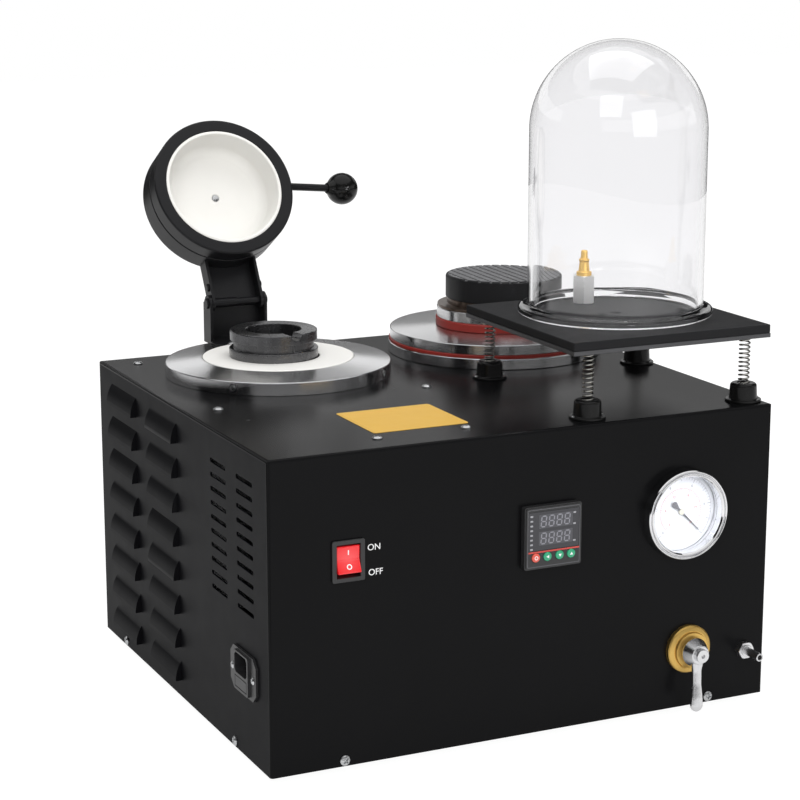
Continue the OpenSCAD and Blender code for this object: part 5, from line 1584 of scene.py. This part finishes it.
@dataclass
class Gauge:
    """Vacuum gauge: bezel, dial with its scales, lens and needle."""

    x: float = 130.5
    z: float = 165.5
    bezel_r: float = 35.0
    dial_r: float = 30.4
    first: float = 225.0
    sweep: float = 270.0
    needle_turn: float = -45.0
    dial_top: float = -3.0

    def build(self) -> None:
        """Builds the case's look, bezel, dial, lens and needle."""
        refine("gauge_case", BEZEL_CHROME, 0.3)
        spot = on_front(self.x, self.z)
        add_piece("gauge_bezel_look", [(self.bezel().moved(spot), BEZEL_CHROME)], "root", ("gauge_bezel",),
                  sharp=50)
        add_piece("gauge_dial_look", [(shell.moved(spot), finish) for shell, finish in self.dial()], "root",
                  ("gauge_dial",))
        lens = turned([(0, 1), (self.dial_r, 1), (self.dial_r, 3), (0, 3)], (0, 0.2, 0.3, 0), segments=96)
        cover = add_piece("gauge_lens_look", [(lens.moved(spot), LENS_GLASS)], "root", ("gauge_lens",))
        cover.visible_shadow = False
        pointing = on_front(self.x, self.z, self.needle_turn)
        add_piece("gauge_needle_look", [(shell.moved(pointing), finish) for shell, finish in self.needle()], "needle",
                  ("gauge_needle",))

    def bezel(self) -> Shell:
        """Two polished beads with a hollow between them.

        Returns:
            The closed ring.
        """
        inner, outer = self.dial_r - 0.6, self.bezel_r
        corners = [(inner, 3), (outer, 3), (outer, 9.4), (34.0, 10.8), (33.2, 9.6), (32.8, 7.6), (32.3, 9.6),
                   (31.4, 10.8), (30.0, 9.2)]
        return turned(corners, (0.2, 0.5, 1.0, 0.6, 0.4, 0.3, 0.4, 0.6, 0.5), 5, loop=True)

    def dial(self) -> list[tuple[Shell, Finish]]:
        """Dial plate, an outer grey scale and an inner red one, with plain numbers.

        Returns:
            The plate, the grey print and the red print, each with its finish.
        """
        top = self.dial_top
        plate = revolve([(0.8, top - 1), (self.dial_r, top - 1), (self.dial_r, top), (0.8, top)], 96, loop=True)
        grey = self.scale(((2.0, 0.18, 25.4), (3.2, 0.35, 24.2)), (27.4, 0.18), (range(0, 11, 2), 3.2, 21.6))
        red = self.scale(((1.2, 0.15, 17.0), (2.0, 0.25, 16.2)), (18.2, 0.16), (range(0, 31, 6), 2.8, 13.4))
        return [(plate, DIAL), (grey, PALE_INK), (red, RED_INK)]

    def scale(self, ticks: Sequence[tuple[float, float, float]], line: tuple[float, float],
              numbers: tuple[Sequence[int], float, float]) -> Shell:
        """One printed scale: its ticks stand at equal angles along the sweep.

        Args:
            ticks: length, width and radius of the fine ticks, then of the coarse ones.
            line: radius and width of the arc that joins them.
            numbers: the numbers, their height and their radius.

        Returns:
            The print, on the dial's face.
        """
        top = self.dial_top
        fine = np.radians(self.first - np.linspace(0, self.sweep, 51))
        coarse = fine[::5]
        parts = [bars(length, width, INK, [at(0, 0, 0, math.degrees(v)).then(self.on_dial(v, radius)) for v in angles])
                 for (length, width, radius), angles in zip(ticks, (fine, coarse))]
        a = np.radians(self.first - np.linspace(0, self.sweep, 73))
        radius, width = line
        section = ((radius, top), (radius + width, top), (radius + width, top + INK), (radius, top + INK))
        rows = [np.column_stack([np.cos(a) * r, np.sin(a) * r, np.full(len(a), h)]) for r, h in section]
        parts.append(skin(np.stack(rows, 1)))
        values, height, radius = numbers
        parts += [lettering(str(n), height, INK).moved(self.on_dial(v, radius)) for n, v in zip(values, coarse[::2])]
        return joined(parts)

    def on_dial(self, angle: float, radius: float) -> Place:
        """Upright place on the dial's face at an angle in radians and a radius."""
        return at(radius * math.cos(angle), radius * math.sin(angle), self.dial_top)

    def needle(self) -> list[tuple[Shell, Finish]]:
        """Pointer with a wide rounded tail, tapering to its tip, and a cream hub.

        Returns:
            The pointer and its hub, each with its finish.
        """
        t = np.radians(np.linspace(100, 260, 17))
        tail = np.stack([-8.6 + 2.6 * np.cos(t), 2.6 * np.sin(t)], -1)
        outline = np.vstack([tail, [(-4.0, -0.9), (22.4, -0.22), (22.4, 0.22), (-4.0, 0.9)]])
        blade = prism(outline, -1.6, -0.9, 0.12, 2)
        stem = turned([(0, -8), (0.75, -8), (0.75, -2), (2.4, -2), (2.4, -0.6), (0, -0.35)],
                      (0, 0.1, 0.1, 0.1, 0.5, 0), segments=32)
        return [(blade, NEEDLE), (stem, HUB)]


@dataclass
class Valve:
    """Three-way valve with its brass flange, hub, lever and cap, and the pump nipple beside it."""

    x: float = 138.5
    z: float = 55.5
    lean: float = 4.0
    lever_l: float = 45.0
    tip_l: float = 5.0
    flange_r: float = 19.0
    bore_r: float = 7.2
    tube_r: float = 3.2
    nipple: tuple[float, float] = (190.5, 47.0)

    def build(self) -> None:
        """Builds the flange, lever and nipple and dresses the hidden parts."""
        spot = on_front(self.x, self.z)
        r, bore = self.flange_r, self.bore_r
        flange = turned([(bore, -3), (14.4, -3), (14.4, 0), (r, 0), (r, 4.4), (14.6, 6.4), (12.6, 4.6), (bore, 4.6)],
                        (0.1, 0.1, 0.1, 0.4, 2.4, 1.6, 1.6, 0.4), 6, 96, loop=True)
        add_piece("valve_flange", [(flange.moved(spot), BRASS)], "root", sharp=50)
        dress("valve_body", BRASS)
        dress("valve_stem", BRASS)
        dress("vacuum_pipes", RED_RUBBER)
        hung = on_front(self.x, self.z, -self.lean)
        handle = [(shell.moved(hung), CAST_CHROME) for shell in (self.hub(), self.lever(), self.cap())]
        add_piece("valve_lever_look", handle, "valve", ("valve_lever",), sharp=50)
        add_piece("pump_nipple_look", [(self.pump_nipple().moved(on_front(*self.nipple)), PLATED)], "root",
                  ("pump_nipple",), sharp=40)

    def hub(self) -> Shell:
        """Skirted hub that narrows to the cap.

        Returns:
            The closed hub.
        """
        line = soften([(6.1, 8.3), (10, 8.3), (10, 11), (11.4, 11.2), (7.4, 20), (0, 20)],
                      (0.2, 0.5, 0.3, 0.8, 1.2, 0), 5)
        return revolve(np.vstack([(0, 8.3), line]), 72)

    def lever(self) -> Shell:
        """Handle: at distance s its section is a rounded oval, (w cos a, t sin a), with width w(s) and depth t(s).

        Returns:
            The closed handle.
        """
        tip = self.tip_l
        straight = self.lever_l - tip
        s = np.concatenate([np.linspace(0, straight, 30),
                            straight + tip * np.sin(np.linspace(0, QUARTER_TURN, 12))[1:]])
        knots = (0, 6, 13, 24, 34, straight)
        w = np.interp(s, knots, (6.4, 5.2, 3.9, 3.8, 4.8, 5.2))
        thick = np.interp(s, knots, (3.6, 3.3, 2.8, 2.6, 2.8, 3.0))
        mid = np.interp(s, knots, (16.2, 15.8, 16.0, 17.8, 19.6, 20.2))
        fade = np.sqrt(np.clip(1 - (np.clip(s - straight, 0, tip) / tip) ** 2, 0, 1))
        a = np.linspace(0, FULL_TURN, 40, endpoint=False)
        round_x, round_z = (np.sign(wave) * np.abs(wave) ** 0.8 for wave in (np.cos(a), np.sin(a)))
        x = (w * fade)[:, None] * round_x
        y = -s[:, None] * np.ones_like(a)
        z = mid[:, None] + (thick * (0.25 + 0.75 * fade) * (fade > 0))[:, None] * round_z
        return skin(np.stack([x, y, z], -1))

    def cap(self) -> Shell:
        """Cap screw with a hexagon recess."""
        return socket_screw(5.3, 19.4, 23.5, 3.0, 1.6)

    def pump_nipple(self) -> Shell:
        """Hexagon nut, washer and an open tube with a rolled lip.

        Returns:
            The nut, tube and washer.
        """
        nut, r = hexagon(12.5), self.tube_r
        upper, top = within(nut, 6.95), within(nut, 6.6)
        rows = [(nut * 0.3, 0.0), (nut, 0.0), (nut, 4.7), (upper, 5.2), (top, 5.5), (nut * 0.3, 5.5)]
        tube_wall = [(1.9, -20.0), (r, -20.0), (r, 20.5), (r, 24), (1.9, 24)]
        washer = [(r, 5.4), (4.6, 5.4), (4.6, 6.7), (r, 6.7)]
        return joined([stack(rows), turned(tube_wall, (0, 0, 0, 0.5, 0.5), segments=40, loop=True),
                       turned(washer, (0, 0.1, 0.4, 0.1), segments=40, loop=True)])


@dataclass
class Inlet:
    """Mains inlet on the left side."""

    edge: float = 0.3

    def build(self) -> None:
        """Keeps the inlet's shape, its edges broken."""
        refine("mains_inlet", BLACK_PLASTIC, self.edge)


@dataclass
class Studio:
    """Floor, white surround, soft lamps, black cloths and the photograph's camera. Its sizes are metres."""

    floor_half: float = 6.0
    floor_seen: float = 0.8
    floor_mirrored: float = 0.35
    floor_light: float = 1.2
    surround: float = 0.55
    lens: float = 99.48
    eye: tuple[float, float, float] = (-0.7607, -1.5688, 0.6229)
    look_down: float = 12.783
    look_aside: float = 25.320
    lamps: tuple[tuple[str, tuple[float, float, float], float, float, float], ...] = (
        ("key", (-1.3, -1.6, 1.9), 0.25, 1.3, 20), ("top", (0.2, 0.2, 1.9), 0.2, 1.4, 20),
        ("front", (0.3, -2.4, 0.9), 0.2, 1.4, 24))
    cloths: tuple[tuple[float, float, float, float], ...] = (
        (-200, -140, 0.02, 3.0), (-140, -5, 0.02, 0.55), (-140, -5, 1.3, 3.0), (-5, 25, 0.02, 3.0),
        (25, 160, 0.02, 0.82), (25, 160, 1.5, 3.6))
    cloth_reach: float = 3.0
    cloth_steps: int = 24

    def build(self) -> None:
        """Sets up the camera, floor, surround, lamps and cloths."""
        self.camera()
        self.floor()
        self.world()
        for lamp in self.lamps:
            self.lamp(*lamp)
        shade = Shade.named("cloth_black")
        black = shade.close(shade.node("BsdfDiffuse", None, {"Color": (0.01, 0.01, 0.01, 1)}).outputs[0])
        for edges in self.cloths:
            self.cloth(black, *edges)
        bpy.context.scene.view_settings.view_transform = "Standard"

    def camera(self) -> None:
        """Camera that gives the photograph's frame."""
        data = bpy.data.cameras.new("camera")
        data.lens, data.sensor_width = self.lens, 36.0
        data.clip_start, data.clip_end = 0.05, 60
        holder = bpy.data.objects.new("camera", data)
        holder.location = self.eye
        holder.rotation_euler = (math.radians(90 - self.look_down), 0, math.radians(-self.look_aside))
        bpy.context.scene.collection.objects.link(holder)
        bpy.context.scene.camera = holder

    def lamp(self, name: str, spot: Sequence[float], aim: float, size: float, power: float) -> None:
        """Adds a square soft lamp that reflections don't show.

        Args:
            name: its name.
            spot: where it hangs.
            aim: height, over the origin, of the point that it faces.
            size: its side.
            power: its power in watts.
        """
        data = bpy.data.lights.new(name, "AREA")
        data.shape, data.size, data.energy = "SQUARE", size, power
        holder = bpy.data.objects.new(name, data)
        z = np.array(spot, float) - np.array((0, 0, aim), float)
        z /= np.linalg.norm(z)
        x = np.cross((0, 0, 1), z)
        x /= np.linalg.norm(x)
        turn = np.eye(4)
        turn[:3, 0], turn[:3, 1], turn[:3, 2], turn[:3, 3] = x, np.cross(z, x), z, spot
        holder.matrix_world = Matrix(turn.tolist())
        holder.visible_glossy = False
        bpy.context.scene.collection.objects.link(holder)

    def cloth(self, black: bpy.types.Material, first: float, last: float, bottom: float, top: float) -> None:
        """Hangs a black cloth, a piece of a cylinder round the machine, that only reflections show.

        Args:
            black: its material.
            first: angle of its first edge, in degrees from +X.
            last: angle of its last edge.
            bottom: height of its lower edge.
            top: height of its upper edge.
        """
        n, reach = self.cloth_steps, self.cloth_reach
        a = np.radians(np.linspace(first, last, n))
        rows = [np.stack([reach * np.cos(a), reach * np.sin(a), np.full(n, z)], -1) for z in (bottom, top)]
        mesh = bpy.data.meshes.new("cloth")
        mesh.from_pydata(np.vstack(rows).tolist(), [], [(k, k + 1, k + n + 1, k + n) for k in range(n - 1)])
        mesh.materials.append(black)
        cloth = bpy.data.objects.new("cloth", mesh)
        cloth.visible_camera = cloth.visible_diffuse = cloth.visible_shadow = cloth.visible_transmission = False
        bpy.context.scene.collection.objects.link(cloth)

    def floor(self) -> None:
        """White floor that stays white to the camera but keeps a soft shadow."""
        h = self.floor_half
        mesh = bpy.data.meshes.new("floor")
        mesh.from_pydata([(-h, -h, 0), (h, -h, 0), (h, h, 0), (-h, h, 0)], [], [(0, 1, 2, 3)])
        shade = Shade.named("floor_white")
        camera, glossy, through = self.rays(shade)
        seen = (camera + glossy * self.floor_mirrored + through).clamp() * self.floor_seen
        matt = shade.node("BsdfDiffuse", None, {"Color": (0.8, 0.8, 0.8, 1)}).outputs[0]
        white = shade.node("Emission", None, {"Color": (1, 1, 1, 1), "Strength": self.floor_light}).outputs[0]
        mixed = shade.node("MixShader", None, {0: seen, 1: matt, 2: white}).outputs[0]
        mesh.materials.append(shade.close(mixed))
        floor = bpy.data.objects.new("floor", mesh)
        bpy.context.scene.collection.objects.link(floor)

    def world(self) -> None:
        """Surround that is white to the camera, to metal and to glass, and softer as a light."""
        world = bpy.data.worlds.new("surround")
        bpy.context.scene.world = world
        shade = Shade(world)
        camera, glossy, through = self.rays(shade)
        seen = (camera + (glossy + through)).clamp()
        strength = shade.node("MapRange", None, {0: seen, 3: self.surround, 4: 1.0}).outputs[0]
        white = shade.node("Background", None, {0: (1, 1, 1, 1), 1: strength}).outputs[0]
        shade.node("OutputWorld", None, {0: white})

    def rays(self, shade: Shade) -> list[Num]:
        """Whether a ray comes from the camera, from a reflection or through glass, each 0 or 1."""
        path = shade.node("LightPath")
        return [Num(shade, path.outputs[f"Is {kind} Ray"]) for kind in ("Camera", "Glossy", "Transmission")]


def main() -> None:
    """Builds every assembly in order."""
    logging.basicConfig(level=logging.INFO, format="%(name)s: %(message)s")
    for assembly in (Studio(), Casing(), Furnace(), Lid(), Chamber(), VacuumTable(), PowerSwitch(), Controller(),
                     Gauge(), Valve(), Inlet()):
        LOG.info("building %s", type(assembly).__name__)
        assembly.build()


if __name__ == "__main__":
    main()
